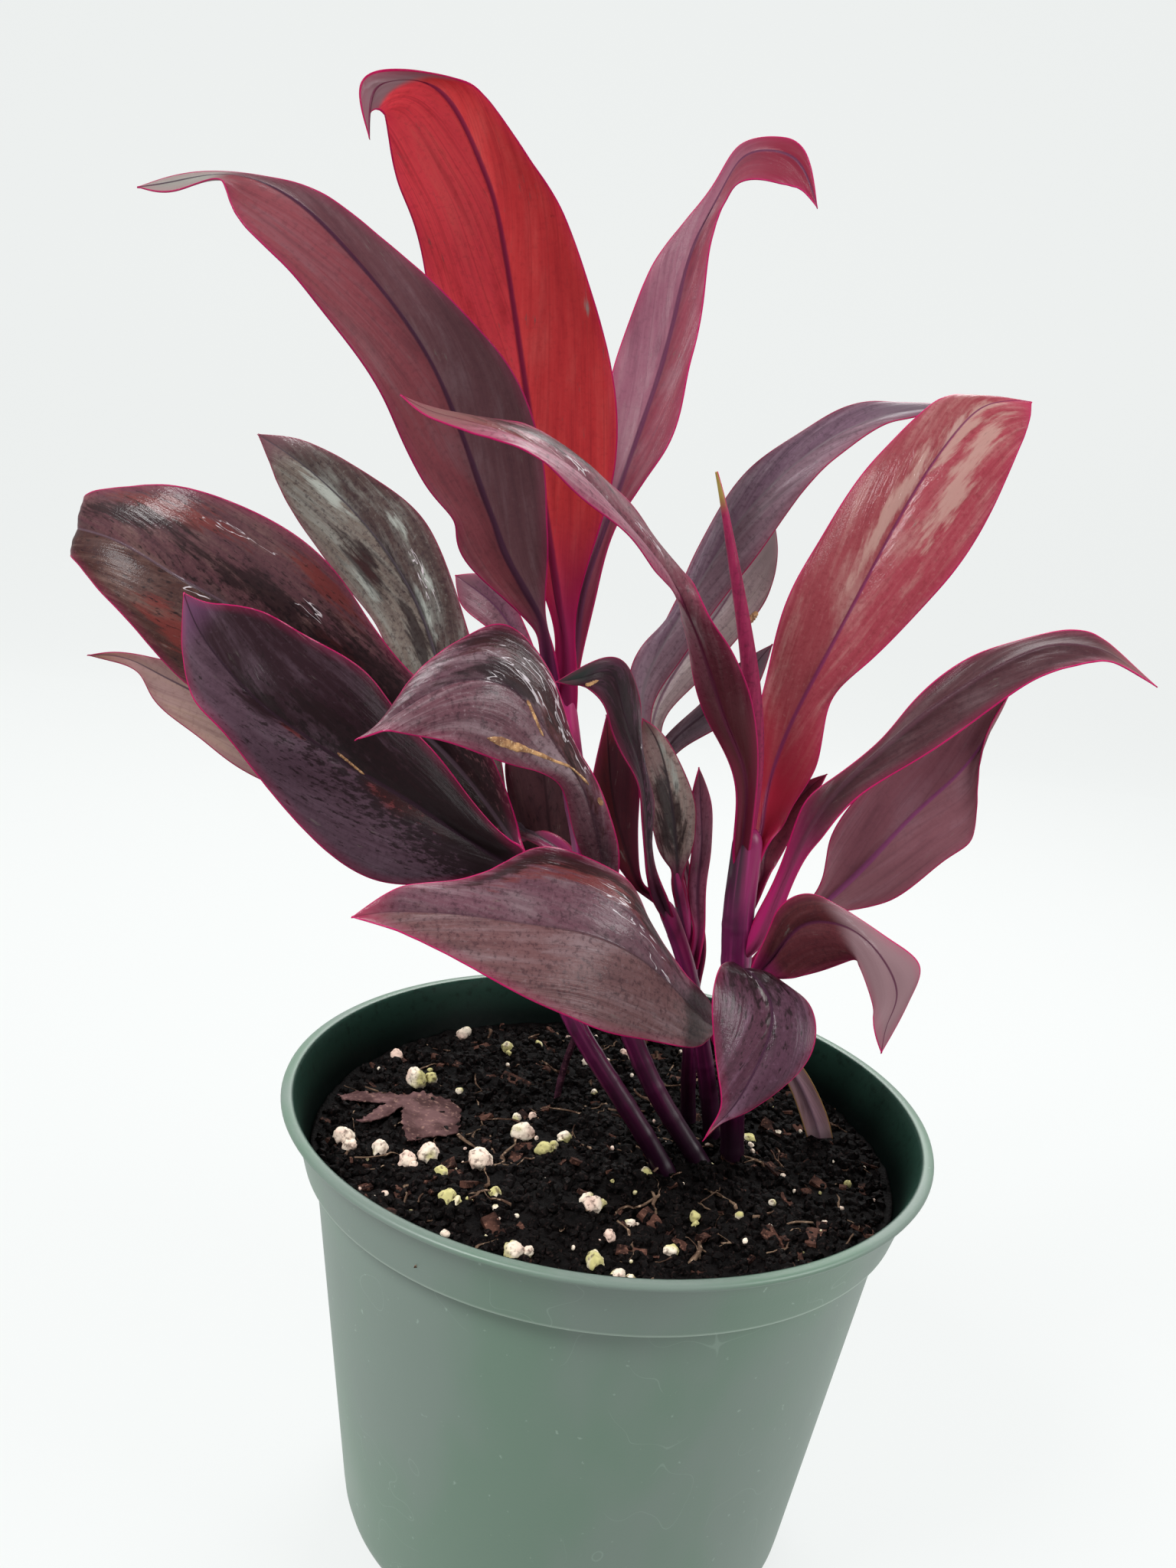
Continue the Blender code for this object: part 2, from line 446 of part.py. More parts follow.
def add_object(name, points_mm, faces, mat=None):
    """Make a mesh object from points in mm, with its faces turned outward."""
    mesh = bpy.data.meshes.new(name)
    mesh.from_pydata([tuple(c * MM for c in p) for p in points_mm], [], faces)
    bm = bmesh.new()
    bm.from_mesh(mesh)
    bmesh.ops.recalc_face_normals(bm, faces=bm.faces)
    bm.to_mesh(mesh)
    bm.free()
    obj = bpy.data.objects.new(name, mesh)
    bpy.context.collection.objects.link(obj)
    if mat:
        mesh.materials.append(mat)
    return obj


def boolean(target, cutter, operation):
    """Join or cut with another mesh, bake the result and drop the other mesh."""
    mod = target.modifiers.new(operation.title(), "BOOLEAN")
    mod.operation = operation
    mod.solver = "EXACT"
    mod.object = cutter
    cutter.hide_render = True
    cutter.display_type = "WIRE"
    graph = bpy.context.evaluated_depsgraph_get()
    baked = bpy.data.meshes.new_from_object(target.evaluated_get(graph))
    target.modifiers.clear()
    target.data = baked
    bpy.data.objects.remove(cutter, do_unlink=True)


def spline(rows, count):
    """Natural cubic spline through the control rows, sampled at evenly spaced parameters."""
    rows = np.array(rows, float)
    n = len(rows)
    system = np.eye(n)
    target = np.zeros_like(rows)
    for i in range(1, n - 1):
        system[i, i - 1:i + 2] = (1, 4, 1)
        target[i] = 6 * (rows[i - 1] - 2 * rows[i] + rows[i + 1])
    bend = np.linalg.solve(system, target)
    samples = []
    for t in np.linspace(0, n - 1, count):
        i = min(int(t), n - 2)
        f = t - i
        g = 1 - f
        samples.append(
            g * rows[i] + f * rows[i + 1]
            + ((g ** 3 - g) * bend[i] + (f ** 3 - f) * bend[i + 1]) / 6
        )
    return np.array(samples)


def unit(v):
    return v / max(float(np.linalg.norm(v)), 1e-9)


def blade_surface(stations, count, camber):
    """Grid of points on the middle surface of a leaf, base to tip and left to right margin."""
    path = spline(stations, count)
    grid = np.zeros((count, len(LEAF_COLUMNS), 3))
    side = None
    for i, row in enumerate(path):
        mid, left, right = row[0:3], row[3:6], row[6:9]
        if i < count - 1:
            side = unit(right - left)
        else:
            left = mid - 0.45 * side
            right = mid + 0.45 * side
        ahead = path[min(i + 1, count - 1)][:3] - path[max(i - 1, 0)][:3]
        face = unit(np.cross(side, ahead))
        width = np.linalg.norm(right - left) / 2
        for j, u in enumerate(LEAF_COLUMNS):
            edge = left if u < 0 else right
            point = mid + abs(u) * (edge - mid)
            grid[i, j] = point + face * camber * width * math.sin(math.pi * abs(u))
    return grid


def surface_normals(grid):
    across = np.zeros_like(grid)
    along = np.zeros_like(grid)
    across[:, 1:-1] = grid[:, 2:] - grid[:, :-2]
    across[:, 0] = grid[:, 1] - grid[:, 0]
    across[:, -1] = grid[:, -1] - grid[:, -2]
    along[1:-1] = grid[2:] - grid[:-2]
    along[0] = grid[1] - grid[0]
    along[-1] = grid[-1] - grid[-2]
    across[-1] = across[-2]
    normal = np.cross(across, along)
    return normal / np.maximum(np.linalg.norm(normal, axis=2, keepdims=True), 1e-9)


def leaf(name, stations):
    """One leaf: a thick petiole that thins into a cambered blade, split alike on both faces."""
    count = max(7, round(1.25 * len(stations)))
    camber = -0.07 if name == "leaf_tall_red" else 0.07
    grid = blade_surface(stations, count, camber)
    normal = surface_normals(grid)
    fraction = np.linspace(0, 1, count)
    extra = (PETIOLE_THICKNESS - BLADE_THICKNESS) * np.clip(1 - fraction / 0.28, 0, 1)
    thickness = BLADE_THICKNESS + extra
    offset = normal * thickness[:, None, None] / 2
    columns = len(LEAF_COLUMNS)
    points = [tuple(p) for p in (grid + offset).reshape(-1, 3)]
    points += [tuple(p) for p in (grid - offset).reshape(-1, 3)]
    back = count * columns

    def index(i, j, layer):
        return layer * back + i * columns + j

    faces = []
    for i in range(count - 1):
        for j in range(columns - 1):
            a, b, c, d = ((i, j), (i, j + 1), (i + 1, j + 1), (i + 1, j))
            for tri in ((a, b, c), (a, c, d)):
                faces.append(tuple(index(*k, 0) for k in tri))
                faces.append(tuple(index(*k, 1) for k in reversed(tri)))
        for j in (0, columns - 1):
            faces.append((index(i, j, 0), index(i + 1, j, 0), index(i + 1, j, 1), index(i, j, 1)))
    for i in (0, count - 1):
        for j in range(columns - 1):
            faces.append((index(i, j, 0), index(i, j + 1, 0), index(i, j + 1, 1), index(i, j, 1)))
    look = LEAF_LOOKS.get(name, PLUM)
    return add_object(name, points, faces, material(name, *look))


def tube(name, path, sides, grow=0.0, mat=None):
    """Closed round tube along rows of x, y, z and radius."""
    count = len(path)
    side = np.array((1.0, 0.0, 0.0))
    points = []
    for i, row in enumerate(path):
        ahead = unit(path[min(i + 1, count - 1)][:3] - path[max(i - 1, 0)][:3])
        side = unit(side - ahead * side.dot(ahead))
        other = np.cross(ahead, side)
        for k in range(sides):
            turn = 2 * math.pi * k / sides
            reach = row[3] + grow
            points.append(tuple(row[:3] + reach * (math.cos(turn) * side + math.sin(turn) * other)))
    faces = [tuple(range(sides)), tuple(range((count - 1) * sides, count * sides))]
    for i in range(count - 1):
        for k in range(sides):
            near = i * sides
            far = near + sides
            step = (k + 1) % sides
            faces.append((near + k, near + step, far + step, far + k))
    return add_object(name, points, faces, mat)


def stem_path(name):
    return spline(STEMS[name], 2 * len(STEMS[name]) - 1)


def turned(name, profile, mat):
    """Close a profile that runs from the axis round to the axis into a turned solid."""
    rows = [p for p in profile if p[0] > 0]
    points = []
    for radius, z in rows:
        for k in range(POT_SIDES):
            turn = 2 * math.pi * k / POT_SIDES
            points.append((radius * math.cos(turn), radius * math.sin(turn), z))
    faces = [tuple(range(POT_SIDES)), tuple(range((len(rows) - 1) * POT_SIDES, len(rows) * POT_SIDES))]
    for i in range(len(rows) - 1):
        for k in range(POT_SIDES):
            near = i * POT_SIDES
            far = near + POT_SIDES
            step = (k + 1) % POT_SIDES
            faces.append((near + k, near + step, far + step, far + k))
    return add_object(name, points, faces, mat)


def make_pot():
    pot = turned("pot", POT_OUTSIDE + POT_INSIDE, material("pot", "#67806F", 0.45))
    for k in range(DRAIN_COUNT):
        turn = 2 * math.pi * (k + 0.5) / DRAIN_COUNT
        x, y = DRAIN_RING * math.cos(turn), DRAIN_RING * math.sin(turn)
        plug = tube("drain", np.array(((x, y, -2, DRAIN_RADIUS), (x, y, 4, DRAIN_RADIUS))), 12)
        boolean(pot, plug, "DIFFERENCE")
    return pot


def in_fragment(x, y, margin):
    return -72 - margin < x < -36 + margin and -14 - margin < y < 15 + margin


def soil_height(x, y):
    """Uneven surface of the mix, level at the rim and under the fallen fragment."""
    radius = math.hypot(x, y)
    swell = 0.8 * math.sin(0.11 * x + 1.3) * math.cos(0.09 * y) + 0.6 * math.sin(0.21 * x + 0.27 * y)
    mound = 1.2 * math.exp(-((x - 25) ** 2 + (y - 2) ** 2) / 500)
    fade = min(1.0, max(0.0, (SOIL_EDGE - radius) / 8))
    if in_fragment(x, y, 5):
        fade = 0.0
    return SOIL_LEVEL + fade * (0.4 + swell + mound)


def place_grains():
    """Hand-set grains, then seeded ones that keep clear of stems, the fragment and each other."""
    rng = random.Random(GRAIN_SEED)
    stems = [spline(STEMS[name], 24) for name in ROOTED]
    roots = [row for path in stems for row in path if row[2] < 116]

    def clear(x, y, r, others):
        if math.hypot(x, y) > SOIL_EDGE - 4 - r or in_fragment(x, y, r + 1):
            return False
        if any(math.hypot(x - s[0], y - s[1]) < r + s[3] + 2 for s in roots):
            return False
        if math.hypot(x - 58, y - 11) < r + 8:
            return False
        return all(math.hypot(x - o[0], y - o[1]) > r + o[2] + 0.6 for o in others)

    grains = []
    for x, y, r in GRAINS:
        if clear(x, y, r, grains):
            grains.append((x, y, r))
    while len(grains) < len(GRAINS) + EXTRA_GRAINS:
        x, y = rng.uniform(-70, 70), rng.uniform(-70, 70)
        r = rng.uniform(1.2, 2.2)
        if clear(x, y, r, grains):
            grains.append((x, y, r))
    chips = []
    while len(chips) < BARK_CHIPS:
        x, y = rng.uniform(-66, 66), rng.uniform(-66, 66)
        if clear(x, y, 5, grains + chips):
            chips.append((x, y, 5, rng.uniform(0, math.pi), rng.uniform(3, 4.6)))
    return grains, chips


def make_soil():
    mat = material("soil", "#1C1614", 0.95)
    points = [(0, 0, soil_height(0, 0))]
    for ring in range(1, SOIL_RINGS + 1):
        radius = SOIL_EDGE * ring / SOIL_RINGS
        for k in range(POT_SIDES):
            turn = 2 * math.pi * k / POT_SIDES
            x, y = radius * math.cos(turn), radius * math.sin(turn)
            points.append((x, y, soil_height(x, y)))
    for radius, z in SOIL_SIDE:
        for k in range(POT_SIDES):
            turn = 2 * math.pi * k / POT_SIDES
            points.append((radius * math.cos(turn), radius * math.sin(turn), z))
    faces = []
    for k in range(POT_SIDES):
        faces.append((0, 1 + k, 1 + (k + 1) % POT_SIDES))
    rings = SOIL_RINGS + len(SOIL_SIDE)
    for i in range(rings - 1):
        for k in range(POT_SIDES):
            near = 1 + i * POT_SIDES
            far = near + POT_SIDES
            step = (k + 1) % POT_SIDES
            faces.append((near + k, far + k, far + step))
            faces.append((near + k, far + step, near + step))
    last = 1 + (rings - 1) * POT_SIDES
    faces.append(tuple(last + k for k in range(POT_SIDES)))
    soil = add_object("soil", points, faces, mat)
    grains, chips = place_grains()
    bm = bmesh.new()
    for x, y, r in grains:
        made = bmesh.ops.create_icosphere(bm, subdivisions=1, radius=r * MM)
        bmesh.ops.scale(bm, vec=(1, 1, 0.9), verts=made["verts"])
        bmesh.ops.translate(bm, vec=Vector((x, y, soil_height(x, y) + 0.15 * r)) * MM, verts=made["verts"])
    for x, y, _, turn, half in chips:
        made = bmesh.ops.create_cube(bm, size=1)
        for v in made["verts"]:
            c = Vector((v.co.x * 2 * half, v.co.y * 2.6, v.co.z * 3.0))
            px = c.x * math.cos(turn) - c.y * math.sin(turn)
            py = c.x * math.sin(turn) + c.y * math.cos(turn)
            v.co = Vector((x + px, y + py, soil_height(x, y) - 0.2 + c.z)) * MM
    mesh = bpy.data.meshes.new("grains")
    bm.to_mesh(mesh)
    bm.free()
    bits = bpy.data.objects.new("grains", mesh)
    bpy.context.collection.objects.link(bits)
    boolean(soil, bits, "UNION")
    for name in ROOTED:
        path = stem_path(name)
        end = next(i for i, row in enumerate(path) if row[2] > 110)
        path = path[:end + 1].copy()
        path[0, :3] -= 0.4 * unit(path[1, :3] - path[0, :3])
        boolean(soil, tube("hole", path, STEM_SIDES, HOLE_GAP), "DIFFERENCE")
    return soil


def make_fragment():
    """Curled dry fragment: one outline, drawn on both faces."""
    count = len(FRAGMENT)
    points = []
    for layer in (0, 1):
        for x, y in FRAGMENT:
            lift = 0.9 * math.sin((x + 71) / 34 * math.pi) ** 2 + 0.5 * math.sin((y + 14) / 9) ** 2
            points.append((x, y, FRAGMENT_BASE + lift + layer * FRAGMENT_THICKNESS))
    mesh_faces = [tuple(range(count)), tuple(range(2 * count - 1, count - 1, -1))]
    for k in range(count):
        step = (k + 1) % count
        mesh_faces.append((k, step, count + step, count + k))
    obj = add_object("fallen_fragment", points, mesh_faces, material("fallen_fragment", "#7A5A56", 0.85))
    bm = bmesh.new()
    bm.from_mesh(obj.data)
    flat = [f for f in bm.faces if len(f.verts) == count]
    bmesh.ops.triangulate(bm, faces=flat, ngon_method="EAR_CLIP")
    bm.to_mesh(obj.data)
    bm.free()
    return obj


def main():
    clear_scene()
    make_pot()
    make_soil()
    make_fragment()
    for name in STEMS:
        colour = "#8A1F5A" if name.startswith("leaf") else "#5E1C48"
        if name == "dry_stalk":
            colour = "#7A4A58"
        tube(name, stem_path(name), STEM_SIDES, 0.0, material(name, colour, 0.45))
    for name, stations in LEAVES.items():
        leaf(name, stations)


main()
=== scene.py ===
"""Looks of a potted ti plant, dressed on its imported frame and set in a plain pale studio."""

import json
import math
import random

import bmesh
import bpy
import numpy as np
from bpy.props import FloatProperty, FloatVectorProperty, IntProperty, PointerProperty
from mathutils import Matrix, Vector, noise


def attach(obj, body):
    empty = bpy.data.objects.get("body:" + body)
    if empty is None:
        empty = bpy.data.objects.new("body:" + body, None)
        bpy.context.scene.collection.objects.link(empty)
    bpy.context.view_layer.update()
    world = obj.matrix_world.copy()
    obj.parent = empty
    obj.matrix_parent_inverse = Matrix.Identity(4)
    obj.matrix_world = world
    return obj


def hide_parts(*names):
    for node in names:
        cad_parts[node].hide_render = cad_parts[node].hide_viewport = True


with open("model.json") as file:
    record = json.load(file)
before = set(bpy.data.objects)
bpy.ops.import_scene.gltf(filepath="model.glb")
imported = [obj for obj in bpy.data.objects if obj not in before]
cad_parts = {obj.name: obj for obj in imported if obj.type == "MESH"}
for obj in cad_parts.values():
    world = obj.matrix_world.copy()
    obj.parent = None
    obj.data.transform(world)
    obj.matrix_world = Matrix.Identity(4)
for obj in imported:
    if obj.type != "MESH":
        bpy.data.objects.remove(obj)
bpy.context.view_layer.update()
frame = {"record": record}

bl_info = {
    "name": "Potted ti plant",
    "version": (1, 0, 0),
    "blender": (4, 5, 0),
    "location": "3D Viewport > Sidebar > Ti Plant",
    "description": "Dresses the packed ti plant with leaves, canes, potting mix, pot and studio",
    "category": "Object",
}

MM = 0.001

# Pot, in mm: outline from the foot up the outside, over the lip and down the inside to the floor
POT_OUTSIDE = (
    (0.0, 0.0), (51.0, 0.0), (53.6, 0.25), (55.6, 1.2), (57.6, 2.6), (59.0, 4.6), (59.8, 7.0), (60.3, 10.0),
    (66.8, 56.0), (73.2, 101.2), (73.35, 102.0), (73.8, 102.25), (75.5, 102.5), (76.0, 102.8),
    (76.2, 103.5), (77.9, 110.0), (79.6, 116.4), (80.0, 117.1), (80.6, 117.35), (81.6, 117.3),
    (82.2, 117.6), (82.5, 118.15), (82.3, 118.75), (81.7, 119.0),
)
POT_INSIDE = (
    (80.2, 119.0), (79.6, 118.8), (79.2, 118.2), (78.2, 115.5), (74.9, 104.2), (74.5, 103.3), (73.0, 102.6),
    (71.9, 101.9), (65.4, 56.0), (58.9, 10.4), (58.2, 6.6), (56.4, 3.8), (53.8, 2.2), (51.0, 1.8), (0.0, 1.8),
)
# Points of the outline on the band's ledge that get a painted highlight, each with how much
LEDGE_HIGHLIGHTS = {(75.5, 102.5): 0.35, (76.0, 102.8): 0.5}
DRAIN_RADIUS = 4.5
DRAIN_RING = 38.0
DRAIN_COUNT = 6

# Potting mix, in mm: it follows the inside of the pot with a small gap
SOIL_SIDE = ((74.3, 104.1), (71.4, 102.6), (58.5, 10.6), (56.5, 4.8), (50.8, 2.15), (0.0, 2.1))
SOIL_EDGE = 74.5
SOIL_LEVEL = 105.0

# Leaf shape: fine veins leave the midrib at a slope of 7 mm along for 1 mm across
VEIN_SLOPE = 7.0
TIP_HALF_WIDTH = 0.2
CAMBER = 0.07
PETIOLE_SHARE = 0.28
EDGE_WAVE_LENGTH = 27.0
PLEAT_WIDTH = 2.8
# Slow swells of a blade: height, and what 1 radian takes along and across it, in mm
SWELLS = ((0.35, 9.0, 5.0), (0.2, 4.3, 2.9))
# Lap of the rolled new leaf, in radians: where it starts, and how far it turns to the tip
LAP_START = 5.2
LAP_TWIST = 1.5
# Rounded top of a cane: distance past its end in mm, and share of its radius
CROWN = ((1.2, 0.96), (2.4, 0.86), (3.4, 0.7), (4.1, 0.5), (4.5, 0.25))

# Camera of the photo, in mm and degrees, with the pot's base centre as origin
CAMERA_PLACE = (-14.0, -311.0, 271.5)
CAMERA_PITCH = 13.0
CAMERA_ROLL = 6.3
CAMERA_LENS = 30.0

# Studio, in metres: depth, bend and half width of the paper sweep; places, sizes and aim of the soft lights
SWEEP_DEPTH = 1.1
SWEEP_BEND = 0.5
SWEEP_REACH = 3.0
SOFTBOXES = (
    ("softbox_left", (-0.75, -0.55, 1.15), (0, 0, 0.2), 0.5, "softbox"),
    ("softbox_right", (0.9, -0.35, 0.7), (0, 0, 0.2), 0.55, "fill"),
    ("softbox_back", (0.1, 0.75, 0.9), (0, 0, 0.25), 0.5, "fill"),
)

# Leaves from base to tip, in mm: midrib x, y, z, then the left and right margins the same way, or, where
# the margins lie level beside the midrib, only the half width
LEAVES = {
    "leaf_tall_red": (
        (-21.4, -2, 219.8, 1.1), (-22.8, -3.4, 232, 1.7), (-25.5, -4, 243.5, -28, -4, 242.5, -21, -4, 244.5),
        (-29.5, -7, 260, -38, -5, 257, -17.5, -7, 262.5), (-35.5, -12, 283.5, -52.5, -9, 277, -17, -10, 289),
        (-43.5, -23, 316.5, -60, -21, 311, -29.5, -21, 320), (-48, -31, 329, -65, -30, 325, -38.5, -29, 332),
        (-53, -38, 337, -66.5, -38, 333.5, -47.5, -36, 340.5),
        (-58.5, -44, 340.5, -66, -46, 334, -54, -44, 342), (-64, -50, 338.5, -66, -52, 333, -63, -52, 340),
        (-66.5, -54, 334.5, -66.5, -55, 331, -68.5, -55, 336), (-66, -56, 327, 0),
    ),
    "leaf_tall_left": (
        (-24.2, -1.9, 219.6, 1.1), (-27, -8, 232, 1.5), (-30, -11, 241, -32.5, -12, 239.5, -28, -10, 241.5),
        (-37, -16, 252, -46, -19, 251, -28.5, -14, 254),
        (-41, -19, 260.5, -49, -23, 259.5, -29.5, -17, 263.5),
        (-44.5, -23, 268.5, -55.5, -28, 267, -31, -20, 273.5),
        (-52.5, -31, 286.5, -63, -37, 282, -36.5, -28, 288),
        (-62.5, -37, 300.5, -74, -44, 296.5, -49, -34, 301.5),
        (-75, -39, 312, -85.5, -46, 307, -66, -35, 313.5),
        (-85.5, -38, 319, -94, -43, 315, -81.5, -34, 321.5),
        (-97.5, -35, 322, -99.5, -38, 320.5, -96.5, -32, 323.5),
        (-109.5, -31, 320.5, -109, -33, 318.5, -109, -29, 322.5), (-118.5, -27, 319.5, 0),
    ),
    "leaf_tall_right": (
        (-21.3, 1.6, 219.4, 1.2), (-20.5, 3.5, 231.5, 1.5), (-20, 5, 245.5, -22, 5, 246, -17, 5, 245.5),
        (-16.5, 8, 261, -22, 8, 262, -13.5, 8, 263.5), (-12, 13, 279.5, -20, 14, 282, -4.5, 11, 280),
        (-7.5, 18, 299, -19, 20, 298.5, -0.5, 16, 300), (-5, 22, 316, -15, 24, 315, 0.5, 20, 317.5),
        (-2.5, 25, 329.5, -10, 27, 328.5, 1.5, 23, 332.5), (2.5, 26, 342, -0.5, 29, 342.5, 3.5, 23, 339.5),
        (7, 24, 349.5, 5, 28, 353, 7.5, 20, 343), (14, 19, 350, 13.5, 23, 354.5, 14, 15, 343),
        (19.5, 14, 346, 20, 16, 350, 19, 12, 341.5), (23.5, 9, 337, 0),
    ),
    "leaf_right_arch": (
        (24.3, -7, 190.6, 1.3), (22.5, -13, 207.5, 2.5), (16.5, -16, 220, 13, -14, 219.5, 22.5, -17, 222),
        (10, -21, 233.5, 6.5, -18, 232, 17, -23, 234.5), (4, -28, 245, 2.5, -24, 245, 8.5, -32, 245.5),
        (-2.5, -36, 254.5, -3.5, -43, 254, 1.5, -29, 255), (-12, -45, 264, -13, -54, 262.5, -9.5, -36, 265),
        (-21.5, -53, 272, -22.5, -63, 270, -20.5, -43, 274.5),
        (-31.5, -59, 277, -31.5, -68, 275, -31.5, -50, 279.5),
        (-42, -62, 279.5, -42, -68, 278, -42, -56, 281), (-50, -63, 280.5, -50, -66, 279.5, -50, -60, 281.5),
        (-56, -63, 283, 0),
    ),
    "leaf_right_red": (
        (28.9, -2.4, 190.9, 1.2), (30, 3, 201, 27, 3, 201, 34.5, 3, 199),
        (32, 5, 212.5, 25.5, 6, 216, 41, 4, 210), (36, 6, 225.5, 26.5, 8, 228.5, 42.5, 4, 225.5),
        (42.5, 6, 243.5, 28.5, 9, 246, 51, 3, 238), (49.5, 8, 262, 36, 12, 265.5, 63, 4, 254),
        (56.5, 11, 278.5, 45.5, 15, 283, 72.5, 7, 270.5), (64, 15, 291.5, 56.5, 19, 296.5, 78, 11, 286.5),
        (72, 19, 299.5, 66.5, 22, 301.5, 81.5, 16, 295), (83, 22, 301.5, 0),
    ),
    "leaf_right_grey": (
        (14.6, 12.6, 166, 0.9), (12.2, 14.5, 173.5, 1.0), (5, 20, 194, 1),
        (-2, 26, 214.5, -4.5, 26, 215, 0.5, 26, 213.5), (0, 29, 228.5, -5.5, 29, 227.5, 5.5, 29, 226.5),
        (7, 33, 244, 2, 34, 240, 13.5, 32, 241.5), (15, 37, 260.5, 8, 39, 257.5, 23.5, 35, 257.5),
        (24, 40, 274, 16, 43, 274.5, 31.5, 37, 272), (35.5, 42, 286, 30.5, 46, 289.5, 40, 38, 283.5),
        (47.5, 43, 294, 44.5, 48, 298, 50, 39, 292.5), (57.5, 43, 297.5, 58, 47, 300.5, 58.5, 40, 296),
        (69, 42, 300, 0),
    ),
    "leaf_right_round": (
        (17.8, 13, 157.5, 0.9), (15.5, 17, 171, 1.1), (6, 26, 197, 5, 26, 196.5, 7, 26, 197),
        (1.5, 34, 210.5, -2, 34, 212, 4.5, 34, 211.5), (6.5, 41, 224.5, -1, 43, 228.5, 12.5, 40, 222),
        (15.5, 47, 239.5, 5.5, 50, 244.5, 23, 45, 235.5), (22, 51, 252.5, 12.5, 54, 257.5, 29, 49, 246),
        (25.5, 53, 261, 18.5, 55, 264, 30.5, 51, 257.5), (28, 54, 268, 0),
    ),
    "leaf_right_low_grey": (
        (19.8, 12.8, 149.5, 0.9), (19.5, 17.5, 160, 1.0), (12.5, 22.5, 176, 1.1),
        (6, 24, 184.5, 5, 24, 184, 7.5, 24, 185.5), (4.5, 33, 200.5, 2.5, 33, 201, 7, 33, 200),
        (15, 38, 213.5, 12.5, 40, 214.5, 19, 36, 210.5), (24, 41, 223.5, 21.5, 43, 226, 28, 39, 221),
        (31.5, 43, 234, 0),
    ),
    "leaf_bract": (
        (29.9, -0.7, 176.5, 1.0), (31.8, 2.4, 181.5, 1.4), (32, 5, 185, 30, 5, 186, 35, 5, 184.5),
        (35.5, 8, 194, 32, 9, 194.5, 39.5, 7, 193.5), (41, 10, 202, 38.5, 11, 202.5, 43.5, 9, 202),
        (45.5, 11, 206.5, 0),
    ),
    "leaf_right_long": (
        (31.2, -7, 166.5, 1.3), (33.5, -6.5, 173.5, 1.7), (37.5, -4, 187, 35.5, -4, 188, 40, -4, 186.5),
        (42, -3, 198.5, 38.5, -2, 201, 44, -4, 194), (48, -3, 208, 45.5, 0, 208.5, 50.5, -5, 204.5),
        (56, -4, 218, 54.5, 0, 218, 61, -7, 214.5), (63.5, -6, 227, 60.5, -1, 228, 69, -10, 222.5),
        (71.5, -8, 235, 68.5, -2, 237.5, 75.5, -13, 230.5), (79.5, -11, 242, 77, -4, 244.5, 82, -17, 237.5),
        (87.5, -14, 246.5, 88.5, -7, 249, 88, -20, 242), (95.5, -17, 247, 96.5, -12, 250, 95, -21, 245),
        (102, -19, 244.5, 103, -17, 245.5, 101.5, -21, 244), (109.5, -20, 240.5, 0),
    ),
    "leaf_right_back": (
        (31.4, 0.9, 154, 1.2), (36, 4.5, 159.5, 35, 4.5, 160.6, 37, 4.5, 158.4),
        (42, 9, 164.5, 40.5, 9, 166, 43.5, 9, 163.5), (51, 15, 172, 48.5, 16, 175.5, 53.5, 14, 169.5),
        (61, 21, 181.5, 51.5, 24, 187.5, 68.5, 19, 173), (72, 26, 194.5, 60.5, 30, 201, 81.5, 23, 184),
        (81, 29, 204, 71.5, 33, 210, 89, 26, 191), (87, 31, 212, 79.5, 34, 218.5, 88, 28, 204.5),
        (91, 32, 220.5, 87, 34, 224.5, 89, 30, 218.5), (94, 33, 229, 0),
    ),
    "leaf_right_curl": (
        (30.9, -7, 155.5, 1.2), (32.3, -9.5, 159.5, 1.6), (35, -13, 165.5, 32.5, -12, 167.5, 39, -14, 162),
        (38.5, -18, 174.5, 34.5, -14, 177, 45.5, -21, 166), (43.5, -24, 179, 39.5, -18, 183.5, 50, -29, 172),
        (49.5, -30, 179.5, 47.5, -25, 183, 51.5, -33, 172.5), (55, -36, 176, 57.5, -33, 179, 53, -36, 168.5),
        (58.5, -40, 169.5, 63, -39, 175.5, 54.5, -39, 164), (57, -42, 163, 60, -42, 165.5, 54.5, -42, 161),
        (56.5, -43, 156.5, 0),
    ),
    "leaf_front_droop": (
        (26.5, -7.5, 151.5, 1.4), (26.6, -12, 158.5, 2.0),
        (27.5, -19, 163.5, 31, -19, 163.5, 23.5, -19, 165), (30, -27, 164, 36, -25, 164, 20.5, -26, 164.5),
        (32.5, -33, 161.5, 41.5, -30, 161.5, 19.5, -31, 160), (32.5, -38, 156, 43, -36, 155.5, 20, -36, 154),
        (29.5, -42, 148, 39.5, -41, 148.5, 21.5, -41, 147.5), (26, -44, 141, 30.5, -44, 140.5, 23, -44, 141),
        (22.5, -45, 136, 24, -45, 137, 21.5, -45, 136), (20, -46, 132.5, 0),
    ),
    "leaf_front_low": (
        (26.9, -6.8, 140.5, 26.2, -6.8, 141.6, 27.5, -6.8, 139.4),
        (23.5, -14, 145.5, 23.1, -14, 147.5, 23.9, -14, 143.5),
        (19, -22, 151.5, 18.5, -26, 146.5, 19.5, -20, 155.5),
        (10.5, -31, 162, 7.5, -40, 152, 11.5, -26, 165), (1, -38, 171, -4.5, -50, 157.5, 1.5, -29, 180),
        (-9.5, -43, 176.5, -14, -56, 163, -7, -31, 188),
        (-21, -46, 178.5, -24.5, -58, 167.5, -22, -34, 192.5),
        (-33, -48, 179.5, -36.5, -57, 172.5, -33, -39, 187), (-44, -50, 180, -46, -56, 176, -44.5, -44, 185),
        (-53, -52, 179.5, -53, -55, 177.5, -52.5, -49, 183.5), (-60, -53, 178, 0),
    ),
    "leaf_front_scarred": (
        (-4.8, -6.6, 160, 1.3), (-7, -16, 175, -9, -16, 175, -4.5, -16, 175.5),
